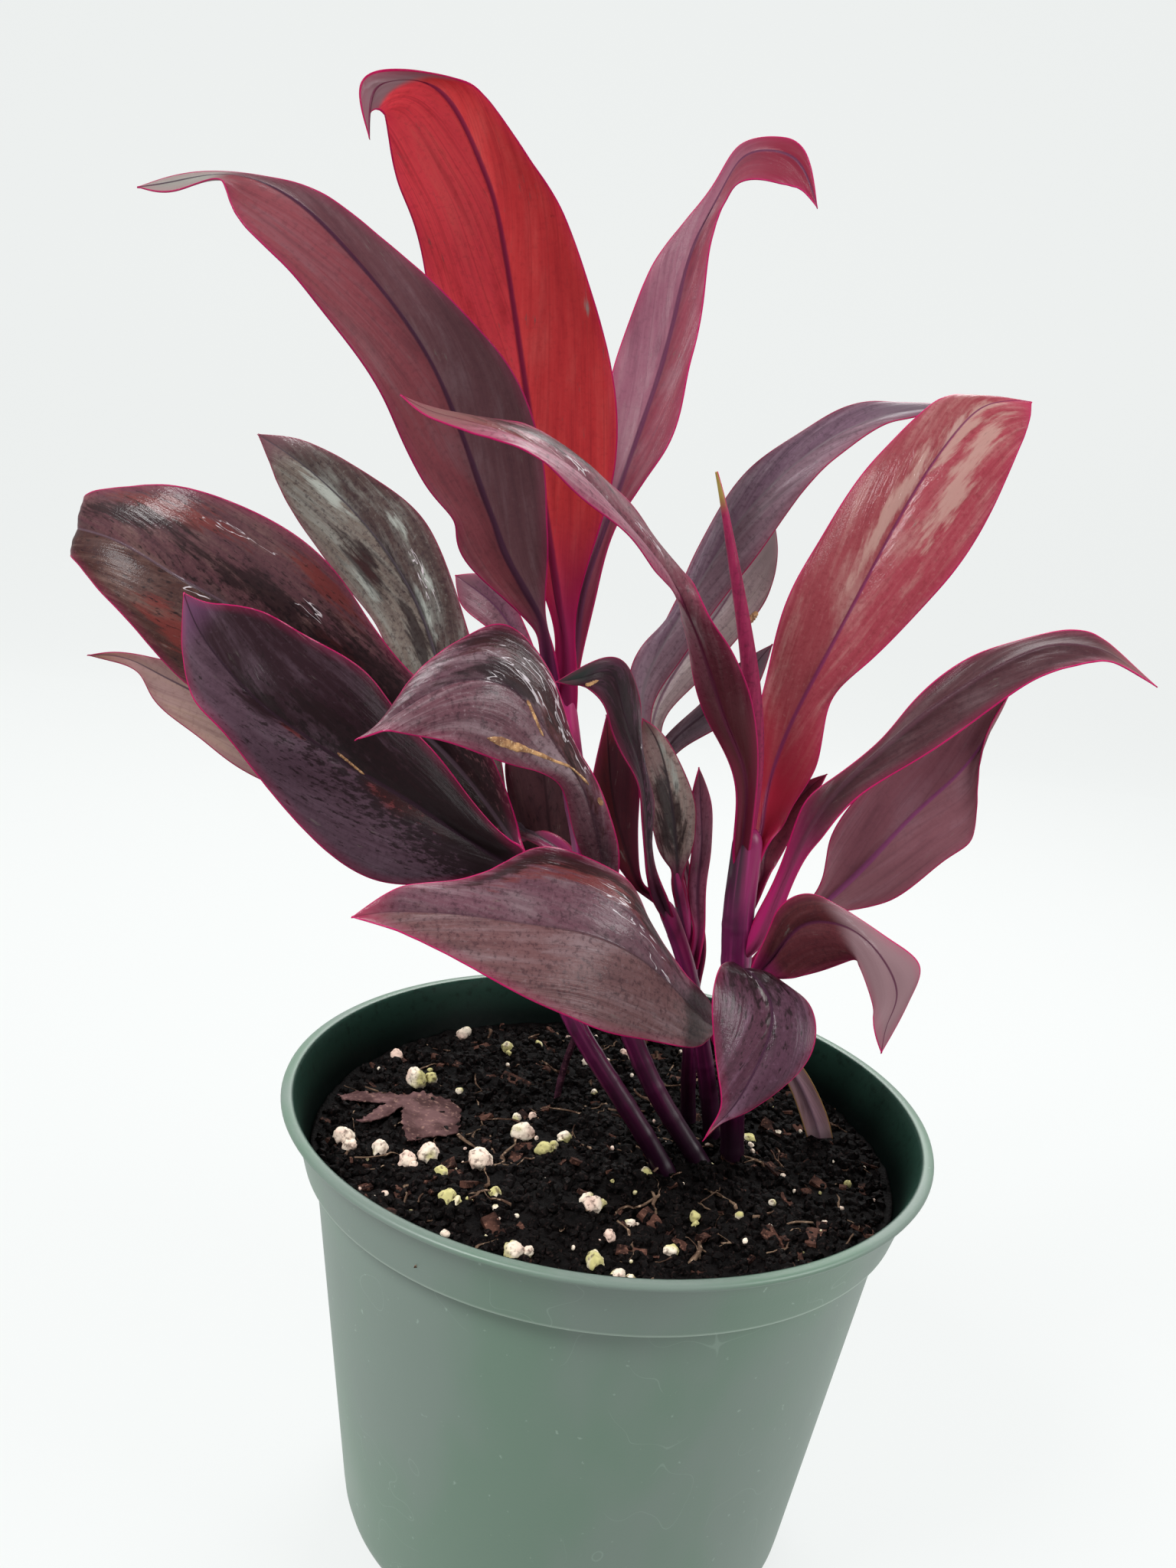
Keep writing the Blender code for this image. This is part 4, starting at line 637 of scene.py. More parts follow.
class MixSettings(bpy.types.PropertyGroup):
    """Sizes, counts and colours of the potting mix and what lies on it."""

    lump: length_field("Lump height", "Height of the lumps on the mix", 1.3)
    crumbs: IntProperty(name="Crumbs", description="Loose crumbs over the mix", default=4200, min=0)
    small_grains: IntProperty(name="Small grains", description="Small perlite grains", default=120, min=0)
    bark_bits: IntProperty(name="Bark bits", description="Bark bits over the mix", default=190, min=0)
    rootlets: IntProperty(name="Rootlets", description="Fine dead roots over the mix", default=120, min=0)
    seed: IntProperty(name="Seed", description="Fixed seed of all that is strewn", default=7, min=0)
    peat: colour_field("Peat", "Darkest colour of the mix", "#040303")
    humus: colour_field("Humus", "Lighter colour of the mix", "#0D0A0A")
    bark: colour_field("Bark", "Colour of the bark bits", "#4E342C")
    rootlet: colour_field("Rootlets", "Colour of the fine roots", "#6E5A4A")
    perlite: colour_field("Perlite", "Colour of clean perlite", "#E6D8C4")
    stain: colour_field("Perlite stain", "Colour of algae on the perlite", "#B2AC68")


class CaneSettings(bpy.types.PropertyGroup):
    """Sizes and colours of the canes."""

    ring_spacing: length_field("Ring spacing", "Distance between leaf scars on a cane", 8.5)
    ring_height: length_field("Ring height", "How far a leaf scar stands out", 0.12)
    low: colour_field("Low skin", "Colour of a cane at the soil", "#1E0618")
    high: colour_field("High skin", "Colour of a cane near its leaves", "#5A1040")


class LeafSettings(bpy.types.PropertyGroup):
    """Sizes of the leaf blades."""

    rows: IntProperty(name="Rows", description="Rows of faces along a blade", default=150, min=20)
    columns: IntProperty(name="Columns", description="Points across a blade", default=33, min=9)
    blade: length_field("Blade thickness", "Thickness of the blade", 0.45)
    petiole: length_field("Petiole thickness", "Thickness of the petiole", 1.3)
    rib: length_field("Rib height", "How far the midrib stands out under the blade", 0.6)
    pleat: length_field("Pleat height", "Height of the folds between the main veins", 0.05)
    wave: length_field("Edge wave", "Height of the wave along the margins", 0.5)
    vein: length_field("Vein spacing", "Distance between fine veins", 0.9)
    margin: length_field("Margin width", "Width of the coloured margin", 0.34)


class StageSettings(bpy.types.PropertyGroup):
    """Backdrop and lights."""

    paper: colour_field("Paper", "Colour of the seamless paper", "#F1F4F3")
    white: FloatProperty(name="Paper white", description="Light the paper returns", default=0.07, min=0)
    glow: FloatProperty(name="Paper glow", description="Back light through the paper", default=0.885, min=0)
    softbox: FloatProperty(name="Softbox", description="Main light", default=23.0, min=0, unit="POWER")
    fill: FloatProperty(name="Fill", description="Side and back light", default=9.0, min=0, unit="POWER")
    sky: FloatProperty(name="Sky", description="Strength of the even white light", default=0.2, min=0)


class PlantSettings(bpy.types.PropertyGroup):
    """All settings of the dressed plant."""

    pot: PointerProperty(type=PotSettings)
    mix: PointerProperty(type=MixSettings)
    cane: PointerProperty(type=CaneSettings)
    leaf: PointerProperty(type=LeafSettings)
    stage: PointerProperty(type=StageSettings)


def spline(rows, count):
    """Natural cubic spline through the control rows, sampled at evenly spaced parameters."""
    rows = np.array(rows, float)
    n = len(rows)
    system = np.eye(n)
    target = np.zeros_like(rows)
    for i in range(1, n - 1):
        system[i, i - 1:i + 2] = (1, 4, 1)
        target[i] = 6 * (rows[i - 1] - 2 * rows[i] + rows[i + 1])
    bend = np.linalg.solve(system, target)
    t = np.linspace(0, n - 1, count)[:, None]
    i = np.minimum(t[:, 0].astype(int), n - 2)
    f = t - i[:, None]
    g = 1 - f
    curve = ((g ** 3 - g) * bend[i] + (f ** 3 - f) * bend[i + 1]) / 6
    return g * rows[i] + f * rows[i + 1] + curve


def unit(vectors):
    """Vectors brought to length 1."""
    return vectors / np.maximum(np.linalg.norm(vectors, axis=-1, keepdims=True), 1e-9)


def smooth(values, low, high):
    """Smooth step from 0 at low to 1 at high."""
    t = np.clip((values - low) / (high - low), 0, 1)
    return t * t * (3 - 2 * t)


def new_piece(name, points_mm, faces, finish, fields=None, vectors=None):
    """Make a smooth mesh piece from points in mm, with point fields for its material."""
    mesh = bpy.data.meshes.new(name)
    mesh.from_pydata((np.asarray(points_mm, float) * MM).tolist(), [], faces)
    for field, values in (fields or {}).items():
        made = mesh.attributes.new(field, "FLOAT", "POINT")
        made.data.foreach_set("value", np.asarray(values, np.float32).ravel())
    for field, values in (vectors or {}).items():
        made = mesh.attributes.new(field, "FLOAT_VECTOR", "POINT")
        made.data.foreach_set("vector", np.asarray(values, np.float32).ravel())
    mesh.shade_smooth()
    if finish:
        mesh.materials.append(finish)
    obj = bpy.data.objects.new(name, mesh)
    bpy.context.scene.collection.objects.link(obj)
    return obj


def plain(obj):
    """Turn an object with live modifiers into a plain mesh."""
    graph = bpy.context.evaluated_depsgraph_get()
    mesh = bpy.data.meshes.new_from_object(obj.evaluated_get(graph))
    obj.modifiers.clear()
    obj.data = mesh
    return obj


def start_tree(name, inputs):
    """Start a Geometry Nodes tree with a geometry in and out, and the named inputs."""
    tree = bpy.data.node_groups.new(name, "GeometryNodeTree")
    tree.interface.new_socket("Geometry", in_out="INPUT", socket_type="NodeSocketGeometry")
    for label, kind in inputs.items():
        tree.interface.new_socket(label, in_out="INPUT", socket_type=kind)
    tree.interface.new_socket("Geometry", in_out="OUTPUT", socket_type="NodeSocketGeometry")
    return tree, tree.nodes.new("NodeGroupInput").outputs


def end_tree(tree, geometry, finish, shade=True):
    """End a tree with Realize Instances and Set Material."""
    real = add_node(tree, "GeometryNodeRealizeInstances", {"Geometry": geometry})
    shaded = add_node(
        tree, "GeometryNodeSetShadeSmooth", {"Geometry": real.outputs[0], "Shade Smooth": shade}
    )
    painted = add_node(
        tree, "GeometryNodeSetMaterial", {"Geometry": shaded.outputs[0], "Material": finish}
    )
    add_node(tree, "NodeGroupOutput", {"Geometry": painted.outputs[0]})


def run_tree(obj, tree, values):
    """Run a tree on an object with the given inputs, and keep the result as a plain mesh."""
    modifier = obj.modifiers.new(tree.name, "NODES")
    modifier.node_group = tree
    for item in tree.interface.items_tree:
        if item.in_out == "INPUT" and item.name in values:
            modifier[item.identifier] = values[item.name]
    return plain(obj)


def dress(piece, slot, *nodes):
    """Fix a finished piece to the plant, in place of the CAD nodes it stands for."""
    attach(piece, "root")
    if nodes:
        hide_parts(*nodes)


def new_material(name):
    """Empty node material with its Principled shader and output."""
    mat = bpy.data.materials.new(name)
    mat.use_nodes = True
    tree = mat.node_tree
    return mat, tree, tree.nodes["Principled BSDF"], tree.nodes["Material Output"]


def layered(tree, colour, layers):
    """Lay colours over a base, each by its own mask."""
    for mask, paint in layers:
        colour = add_node(tree, "ShaderNodeMix", {0: mask, 6: colour, 7: paint}, data_type="RGBA").outputs[2]
    return colour


def leaf_skin(name, look, sizes):
    """Living ti leaf: thin coloured tissue under a waxy cuticle, for a satin gloss broken by veins."""
    mat, tree, shader, output = new_material("waxy ti leaf " + name)
    fields = {}
    for field in ("blade_place", "vein_place", "marks", "back_side", "crumpled", "creased"):
        fields[field] = add_node(tree, "ShaderNodeAttribute", attribute_name=field)
    # creased holds the crease-glint marks, where painted highlights go
    spot, flow, mark = [fields[field].outputs["Vector"] for field in ("blade_place", "vein_place", "marks")]
    back, crumpled, glint_marks = [fields[field].outputs["Fac"] for field in ("back_side", "crumpled", "creased")]
    reach, edge, share = add_node(tree, "ShaderNodeSeparateXYZ", {0: spot}).outputs
    dark, rust, pale_sheen = add_node(tree, "ShaderNodeSeparateXYZ", {0: mark}).outputs
    off_rib = add_node(tree, "ShaderNodeMath", {0: reach}, operation="ABSOLUTE").outputs[0]
    to_fold = add_node(
        tree, "ShaderNodeMath", {0: reach, 1: look["tip_slant"], 2: share}, operation="MULTIPLY_ADD"
    ).outputs[0]

    # Noise drawn out along the veins: its width and length in mm
    field = {}
    for label, across_mm, along_mm, detail in (
        ("cloud", 6.0, 26.0, 7.0), ("streak", 2.0, 36.0, 5.0), ("vein", sizes.vein / MM, 90.0, 2.0),
        ("fleck", 1.5, 9.0, 5.0), ("crease_glint", 1.9, 12.0, 2.0), ("speck", 0.8, 2.6, 6.0),
    ):
        scale = (1 / (VEIN_SLOPE * across_mm), 1 / along_mm, 1.0)
        mapped = add_node(tree, "ShaderNodeMapping", {"Vector": flow, "Scale": scale})
        field[label] = add_node(
            tree, "ShaderNodeTexNoise",
            {"Vector": mapped.outputs[0], "Scale": 1.0, "Detail": detail, "Roughness": 0.62},
        ).outputs["Fac"]
    place = add_node(tree, "ShaderNodeTexCoord").outputs["Object"]
    for label, size_mm, detail in (("mottle", 1.2, 6.0), ("grain", 0.8, 2.0)):
        field[label] = add_node(
            tree, "ShaderNodeTexNoise",
            {"Vector": place, "Scale": 1 / (size_mm * MM), "Detail": detail, "Roughness": 0.68},
        ).outputs["Fac"]

    # Values that the masks below are made from
    rib_width = add_node(tree, "ShaderNodeMapRange", {0: share, 1: 0.0, 2: 1.0, 3: 1.0, 4: 0.25}).outputs[0]
    near_rib = add_node(tree, "ShaderNodeMapRange", {0: off_rib, 1: 15.0, 2: 2.0}).outputs[0]
    near_base = add_node(
        tree, "ShaderNodeMapRange", {0: share, 1: 0.8, 2: 0.2, 3: 0.0, 4: look["specks"]}
    ).outputs[0]
    rib_share = add_node(tree, "ShaderNodeMath", {0: off_rib, 1: rib_width}, operation="DIVIDE").outputs[0]
    crowd = add_node(tree, "ShaderNodeMath", {0: near_rib, 1: near_base}, operation="MULTIPLY").outputs[0]
    broken = add_node(tree, "ShaderNodeMath", {0: field["fleck"], 1: 0.5}, operation="SUBTRACT").outputs[0]
    off_crease = add_node(
        tree, "ShaderNodeMath", {0: field["crease_glint"], 1: 0.5}, operation="SUBTRACT"
    ).outputs[0]
    glint_line = add_node(tree, "ShaderNodeMath", {0: off_crease}, operation="ABSOLUTE").outputs[0]
    # Painted highlights: thin near-white lines along the crease noise, where crease-glint marks lie
    painted_glint = add_node(
        tree, "ShaderNodeMapRange", {0: glint_line, 1: 0.022, 2: 0.004}, interpolation_type="SMOOTHSTEP"
    ).outputs[0]
    glint_spread = add_node(
        tree, "ShaderNodeMath", {0: glint_marks, 1: 0.9, 2: field["fleck"]}, operation="MULTIPLY_ADD"
    ).outputs[0]
    glint_spread = add_node(
        tree, "ShaderNodeMapRange", {0: glint_spread, 1: 0.95, 2: 1.15}, interpolation_type="SMOOTHSTEP"
    ).outputs[0]
    sums = {"painted_glint": add_node(tree, "ShaderNodeMath", {0: painted_glint, 1: glint_spread}, operation="MULTIPLY").outputs[0]}
    for label, value, factor, addend in (
        ("speck", crowd, 0.32, field["speck"]), ("dark", broken, 2.4, dark), ("rust", broken, 2.4, rust),
        ("pale_sheen", broken, 2.4, pale_sheen),
    ):
        sums[label] = add_node(
            tree, "ShaderNodeMath", {0: value, 1: factor, 2: addend}, operation="MULTIPLY_ADD"
        ).outputs[0]

    # Masks: value, where it starts, where it is full, and its strength
    margin_mm = sizes.margin / MM
    streaks = look["streaks"]
    masks = {}
    for label, value, start, full, strength in (
        ("right_half", reach, -0.7, 0.7, 1.0),
        ("base", share, look["base_to"], look["base_to"] * 0.25, 1.0),
        ("tip", to_fold, look["tip_from"] - look["tip_blend"], look["tip_from"] + look["tip_blend"], 1.0),
        ("rib", rib_share, 1.0, 0.3, look["rib_depth"]),
        ("margin", edge, margin_mm * 1.2, margin_mm * 0.5, 1.0),
        ("blush", edge, margin_mm * 8, margin_mm, 0.16),
        ("mottle", field["mottle"], 0.5, 0.65, 0.05 + 0.75 * look["sheen"]),
        # shine: painted sheen, light specks in the mottle, stronger on glossier leaves
        ("shine", field["mottle"], 0.43, 0.33, 0.35 * look["sheen"]),
        ("light_cloud", field["cloud"], 0.48, 0.72, streaks),
        ("dark_cloud", field["cloud"], 0.5, 0.26, 0.5),
        ("streak", field["streak"], 0.48, 0.75, 0.6 * streaks),
        ("shade", field["streak"], 0.5, 0.28, 0.3),
        ("vein", field["vein"], 0.48, 0.36, 0.22),
        ("speck", sums["speck"], 0.57, 0.7, min(0.85, 2 * look["specks"])),
        ("dark", sums["dark"], 0.3, 0.8, 0.85),
        ("rust", sums["rust"], 0.3, 0.9, 0.75),
        # pale_sheen: pale patches, partly the leaf's own colour and partly painted sheen
        ("pale_sheen", sums["pale_sheen"], 0.3, 0.9, 0.8),
        ("painted_glint", sums["painted_glint"], 0.0, 1.0, 0.8),
    ):
        masks[label] = add_node(
            tree, "ShaderNodeMapRange", {0: value, 1: start, 2: full, 3: 0.0, 4: strength},
            interpolation_type="SMOOTHSTEP",
        ).outputs[0]

    halves = layered(tree, linear(look["left"]), [(masks["right_half"], linear(look["right"]))])
    face = layered(tree, halves, [
        (masks["light_cloud"], linear(look["streak"])), (masks["dark_cloud"], linear(look["shade"])),
        (masks["shade"], linear(look["shade"])), (masks["streak"], linear(look["streak"])),
        (masks["vein"], linear(look["shade"])), (masks["mottle"], linear(look["shade"])),
        (masks["shine"], linear(look["streak"])), (masks["rust"], linear("#6E2A26")),
        (masks["pale_sheen"], linear(look["pale_sheen"])), (masks["dark"], linear("#1C0B0F")),
        # the last layer paints highlights: near-white glints along creases
        (masks["speck"], linear("#180A0E")), (masks["painted_glint"], linear("#D8CED3")),
    ])
    under = layered(tree, linear(look["back"]), [
        (masks["dark_cloud"], linear(look["shade"])), (masks["streak"], linear(look["streak"])),
        (masks["vein"], linear(look["shade"])),
    ])
    colour = layered(tree, face, [
        (back, under), (masks["tip"], linear(look["tip"])), (masks["base"], linear(look["base"])),
        (masks["rib"], linear(look["rib"])), (masks["blush"], linear(look["edge"])),
        (masks["margin"], linear(look["edge"])),
    ])

    # Gloss: wax makes a smooth coat over a duller skin, and creases break the reflections up
    rough_low = 0.6 - 0.22 * look["sheen"]
    gloss = add_node(
        tree, "ShaderNodeMapRange", {0: field["cloud"], 1: 0.3, 2: 0.7, 3: rough_low + 0.15, 4: rough_low}
    ).outputs[0]
    creased = add_node(
        tree, "ShaderNodeMath", {0: crumpled, 1: 0.8, 2: 0.25 * look["sheen"]}, operation="MULTIPLY_ADD"
    ).outputs[0]
    height = 0.0
    for relief, share_of in ((field["grain"], 0.12), (field["vein"], 0.25), (field["fleck"], creased)):
        height = add_node(
            tree, "ShaderNodeMath", {0: relief, 1: share_of, 2: height}, operation="MULTIPLY_ADD"
        ).outputs[0]
    coat_height = add_node(
        tree, "ShaderNodeMath", {0: field["crease_glint"], 1: creased, 2: height}, operation="MULTIPLY_ADD"
    ).outputs[0]
    bump = add_node(tree, "ShaderNodeBump", {"Height": height, "Strength": 0.8, "Distance": 0.4 * MM})
    coat_bump = add_node(
        tree, "ShaderNodeBump", {"Height": coat_height, "Strength": 1.0, "Distance": 0.5 * MM}
    )
    wax = add_node(
        tree, "ShaderNodeMath", {0: crumpled, 1: 0.5, 2: 0.2 * look["sheen"]}, operation="MULTIPLY_ADD",
        use_clamp=True,
    ).outputs[0]
    fill(shader, {
        "Base Color": colour, "Roughness": gloss, "Normal": bump.outputs[0], "Specular IOR Level": 0.15,
        "Coat Weight": wax, "Coat Normal": coat_bump.outputs[0], "Coat IOR": 1.5, "Coat Roughness": 0.12,
    })
    lit = add_node(tree, "ShaderNodeBsdfTranslucent", {"Color": colour})
    mixed = add_node(
        tree, "ShaderNodeMixShader", {0: look["glow"], 1: shader.outputs[0], 2: lit.outputs[0]}
    )
    fill(output, {"Surface": mixed.outputs[0]})
    return mat


def cane_skin(name, sizes, shaded, sunny):
    """Young ti cane: smooth waxy skin, top sheaths dark and magenta with painted shade and light, purple at
    the soil.
    """
    mat, tree, shader, output = new_material("smooth cane skin " + name)
    place = add_node(tree, "ShaderNodeTexCoord").outputs["Object"]
    skin = add_node(tree, "ShaderNodeAttribute", attribute_name="skin_place").outputs["Vector"]
    below = add_node(tree, "ShaderNodeAttribute", attribute_name="below_top").outputs["Fac"]
    height = add_node(tree, "ShaderNodeSeparateXYZ", {0: place}).outputs[2]
    east = add_node(tree, "ShaderNodeSeparateXYZ", {0: skin}).outputs[0]
    noises = {}
    for label, vector, scale in (
        ("line", skin, (2.6, 2.6, 0.03)), ("band", skin, (1.1, 1.1, 0.02)), ("blotch", place, (170, 170, 90)),
    ):
        mapped = add_node(tree, "ShaderNodeMapping", {"Vector": vector, "Scale": scale})
        noises[label] = add_node(
            tree, "ShaderNodeTexNoise", {"Vector": mapped.outputs[0], "Scale": 1.0, "Detail": 4.0}
        ).outputs["Fac"]
    bent = add_node(
        tree, "ShaderNodeMath", {0: noises["band"], 1: 1.2, 2: east}, operation="MULTIPLY_ADD"
    ).outputs[0]
    masks = {}
    for label, value, start, full, strength in (
        ("sunny", bent, 0.35, 0.75, 1.0), ("rise", height, 108 * MM, 150 * MM, 1.0),
        ("stain", noises["blotch"], 0.5, 0.72, 0.5), ("line", noises["line"], 0.5, 0.7, 0.5),
        ("top", below, 26.0, 10.0, 1.0),
    ):
        masks[label] = add_node(
            tree, "ShaderNodeMapRange", {0: value, 1: start, 2: full, 3: 0.0, 4: strength},
            interpolation_type="SMOOTHSTEP",
        ).outputs[0]
    # Sheaths: their own dark and magenta, laid as painted shade on one side and painted light on the sunny
    # side
    sheaths = layered(tree, linear(shaded), [(masks["sunny"], linear(sunny))])
    grown = layered(tree, tuple(sizes.high), [(masks["top"], sheaths), (masks["line"], linear("#9A2A6A"))])
    colour = layered(tree, tuple(sizes.low), [(masks["rise"], grown), (masks["stain"], linear("#1E0618"))])
    rough = add_node(
        tree, "ShaderNodeMapRange", {0: noises["blotch"], 1: 0.3, 2: 0.7, 3: 0.28, 4: 0.5}
    ).outputs[0]
    bump = add_node(tree, "ShaderNodeBump", {"Height": noises["line"], "Strength": 0.4, "Distance": 0.2 * MM})
    fill(shader, {
        "Base Color": colour, "Roughness": rough, "Normal": bump.outputs[0], "Specular IOR Level": 0.3,
    })
    return mat


def pot_plastic(sizes):
    """Injection-moulded polypropylene: satin, hairline scratches, faint scuffs; painted ledge highlight,
    painted inner shade.
    """
    mat, tree, shader, output = new_material("moulded polypropylene")
    place = add_node(tree, "ShaderNodeTexCoord").outputs["Object"]
    inner = add_node(tree, "ShaderNodeAttribute", attribute_name="inner").outputs["Fac"]
    worn = add_node(tree, "ShaderNodeAttribute", attribute_name="worn").outputs["Fac"]
    height = add_node(tree, "ShaderNodeSeparateXYZ", {0: place}).outputs[2]
    noises = {}
    for label, size_mm, stretch, detail in (
        ("cloud", 38, 0.5, 3.0), ("scuff", 2.2, 1.0, 5.0), ("line", 17, 1.0, 1.0), ("where", 26, 1.0, 1.0),
        ("grain", 0.6, 1.0, 2.0),
    ):
        scale = (1 / (size_mm * MM), 1 / (size_mm * MM), stretch / (size_mm * MM))
        mapped = add_node(tree, "ShaderNodeMapping", {"Vector": place, "Scale": scale})
        noises[label] = add_node(
            tree, "ShaderNodeTexNoise", {"Vector": mapped.outputs[0], "Scale": 1.0, "Detail": detail}
        ).outputs["Fac"]
    offset = add_node(tree, "ShaderNodeMath", {0: noises["line"], 1: 0.5}, operation="SUBTRACT").outputs[0]
    hair = add_node(tree, "ShaderNodeMath", {0: offset}, operation="ABSOLUTE").outputs[0]
    masks = {}
    for label, value, start, full, strength in (
        ("cloud", noises["cloud"], 0.4, 0.62, 0.75), ("hair", hair, 0.0035, 0.001, 0.22),
        ("where", noises["where"], 0.55, 0.62, 1.0), ("scuff", noises["scuff"], 0.69, 0.74, 0.45),
        ("dust", noises["scuff"], 0.5, 0.75, 0.5), ("deep", height, 119 * MM, 106 * MM, 1.0),
    ):
        masks[label] = add_node(
            tree, "ShaderNodeMapRange", {0: value, 1: start, 2: full, 3: 0.0, 4: strength},
            interpolation_type="SMOOTHSTEP",
        ).outputs[0]
    scratched = add_node(
        tree, "ShaderNodeMath", {0: masks["hair"], 1: masks["where"]}, operation="MULTIPLY"
    ).outputs[0]
    # Inner wall: painted shade over the plastic, darkest deep in the pot, with dark soil dust
    wall = layered(tree, linear("#1E362D"), [
        (masks["deep"], tuple(sizes.inner)), (masks["dust"], linear("#0E1411")),
    ])
    colour = layered(tree, tuple(sizes.plastic), [
        (masks["cloud"], linear("#69766F")), (scratched, tuple(sizes.scuff)),
        # worn: painted highlight along the band's ledge
        (masks["scuff"], tuple(sizes.scuff)), (inner, wall), (worn, linear("#AFC2B2")),
    ])
    rough = add_node(
        tree, "ShaderNodeMapRange", {0: noises["cloud"], 1: 0.3, 2: 0.7, 3: 0.36, 4: 0.5}
    ).outputs[0]
    bump = add_node(
        tree, "ShaderNodeBump", {"Height": noises["grain"], "Strength": 0.25, "Distance": 0.1 * MM}
    )
    shine = add_node(tree, "ShaderNodeMapRange", {0: inner, 3: 0.5, 4: 0.04}).outputs[0]
    fill(shader, {
        "Base Color": colour, "Roughness": rough, "Normal": bump.outputs[0], "Specular IOR Level": shine,
        "IOR": 1.49,
    })
    return mat


def loose_matter(name, darkest, middle, lightest, size_mm, bump_mm, rough=0.92):
    """Dry loose matter, such as peat, bark or roots: matt, in three tones that change every few mm."""
    mat, tree, shader, output = new_material(name)
    place = add_node(tree, "ShaderNodeTexCoord").outputs["Object"]
    coarse = add_node(
        tree, "ShaderNodeTexNoise", {"Vector": place, "Scale": 1 / (size_mm * MM), "Detail": 4.0}
    ).outputs["Fac"]
    fine = add_node(
        tree, "ShaderNodeTexNoise", {"Vector": place, "Scale": 5 / (size_mm * MM), "Detail": 3.0}
    ).outputs["Fac"]
    low = add_node(tree, "ShaderNodeMapRange", {0: coarse, 1: 0.4, 2: 0.62}).outputs[0]
    high = add_node(tree, "ShaderNodeMapRange", {0: fine, 1: 0.56, 2: 0.72, 3: 0.0, 4: 0.8}).outputs[0]
    colour = layered(tree, darkest, [(low, middle), (high, lightest)])
    bump = add_node(tree, "ShaderNodeBump", {"Height": fine, "Strength": 0.8, "Distance": bump_mm * MM})
    fill(shader, {
        "Base Color": colour, "Roughness": rough, "Normal": bump.outputs[0], "Specular IOR Level": 0.04,
    })
    return mat


def perlite_glass(sizes):
    """Expanded perlite: chalky white foam glass, full of pores, stained pink by peat and green by algae."""
    mat, tree, shader, output = new_material("expanded perlite")
    place = add_node(tree, "ShaderNodeTexCoord").outputs["Object"]
    tint = add_node(
        tree, "ShaderNodeTexNoise", {"Vector": place, "Scale": 1 / (11 * MM), "Detail": 2.0}
    ).outputs["Fac"]
    dirt = add_node(
        tree, "ShaderNodeTexNoise", {"Vector": place, "Scale": 1 / (1.1 * MM), "Detail": 4.0}
    ).outputs["Fac"]
    pores = add_node(
        tree, "ShaderNodeTexVoronoi", {"Vector": place, "Scale": 1 / (0.7 * MM)}
    ).outputs["Distance"]
    green = add_node(tree, "ShaderNodeMapRange", {0: tint, 1: 0.5, 2: 0.56, 3: 0.0, 4: 0.9}).outputs[0]
    pink = add_node(tree, "ShaderNodeMapRange", {0: tint, 1: 0.48, 2: 0.38, 3: 0.0, 4: 0.7}).outputs[0]
    soiled = add_node(tree, "ShaderNodeMapRange", {0: dirt, 1: 0.52, 2: 0.66, 3: 0.0, 4: 0.75}).outputs[0]
    colour = layered(tree, tuple(sizes.perlite), [
        (green, tuple(sizes.stain)), (pink, linear("#D2AC9E")), (soiled, linear("#4A352A")),
    ])
    bump = add_node(tree, "ShaderNodeBump", {"Height": pores, "Strength": 0.5, "Distance": 0.12 * MM})
    fill(shader, {"Base Color": colour, "Roughness": 0.85, "Normal": bump.outputs[0]})
    return mat


def seamless_paper(sizes):
    """Matt white background paper with a faint tooth."""
    mat, tree, shader, output = new_material("seamless paper")
    place = add_node(tree, "ShaderNodeTexCoord").outputs["Object"]
    tooth = add_node(tree, "ShaderNodeTexNoise", {"Vector": place, "Scale": 400.0}).outputs["Fac"]
    bump = add_node(tree, "ShaderNodeBump", {"Height": tooth, "Strength": 0.05, "Distance": 0.1 * MM})
    fill(shader, {
        "Base Color": (sizes.white, sizes.white, sizes.white, 1), "Roughness": 0.9,
        "Normal": bump.outputs[0], "Emission Color": tuple(sizes.paper), "Emission Strength": sizes.glow,
    })
    return mat


def level_station(x, y, z, half):
    """A station with its margins level beside the midrib."""
    return (x, y, z, x - half, y, z, x + half, y, z)


def rooted(stations):
    """A leaf's stations with one more inside its cane, so that the petiole grows out of the skin."""
    rows = np.array([row if len(row) == 9 else level_station(*row) for row in stations], float)
    base = rows[0, :3]
    # The nearest cane, by the distance from its skin
    nearest = None
    for stem in ROOTED:
        path = spline(STEMS[stem], 120)
        gaps = np.linalg.norm(path[:, :3] - base, axis=1) - path[:, 3]
        if nearest is None or gaps.min() < nearest[0]:
            nearest = (gaps.min(), path, int(gaps.argmin()))
    _, path, i = nearest
    run = lengths(path[:, :3])
    lower = path[np.searchsorted(run, run[i] - 6.0), :3]
    inside = lower + 0.3 * (base - path[i, :3])
    return np.vstack([rows[0] + np.tile(inside - base, 3), rows])


def lengths(path):
    """Distance along a path at each of its points."""
    return np.concatenate([[0], np.cumsum(np.linalg.norm(np.diff(path, axis=0), axis=1))])


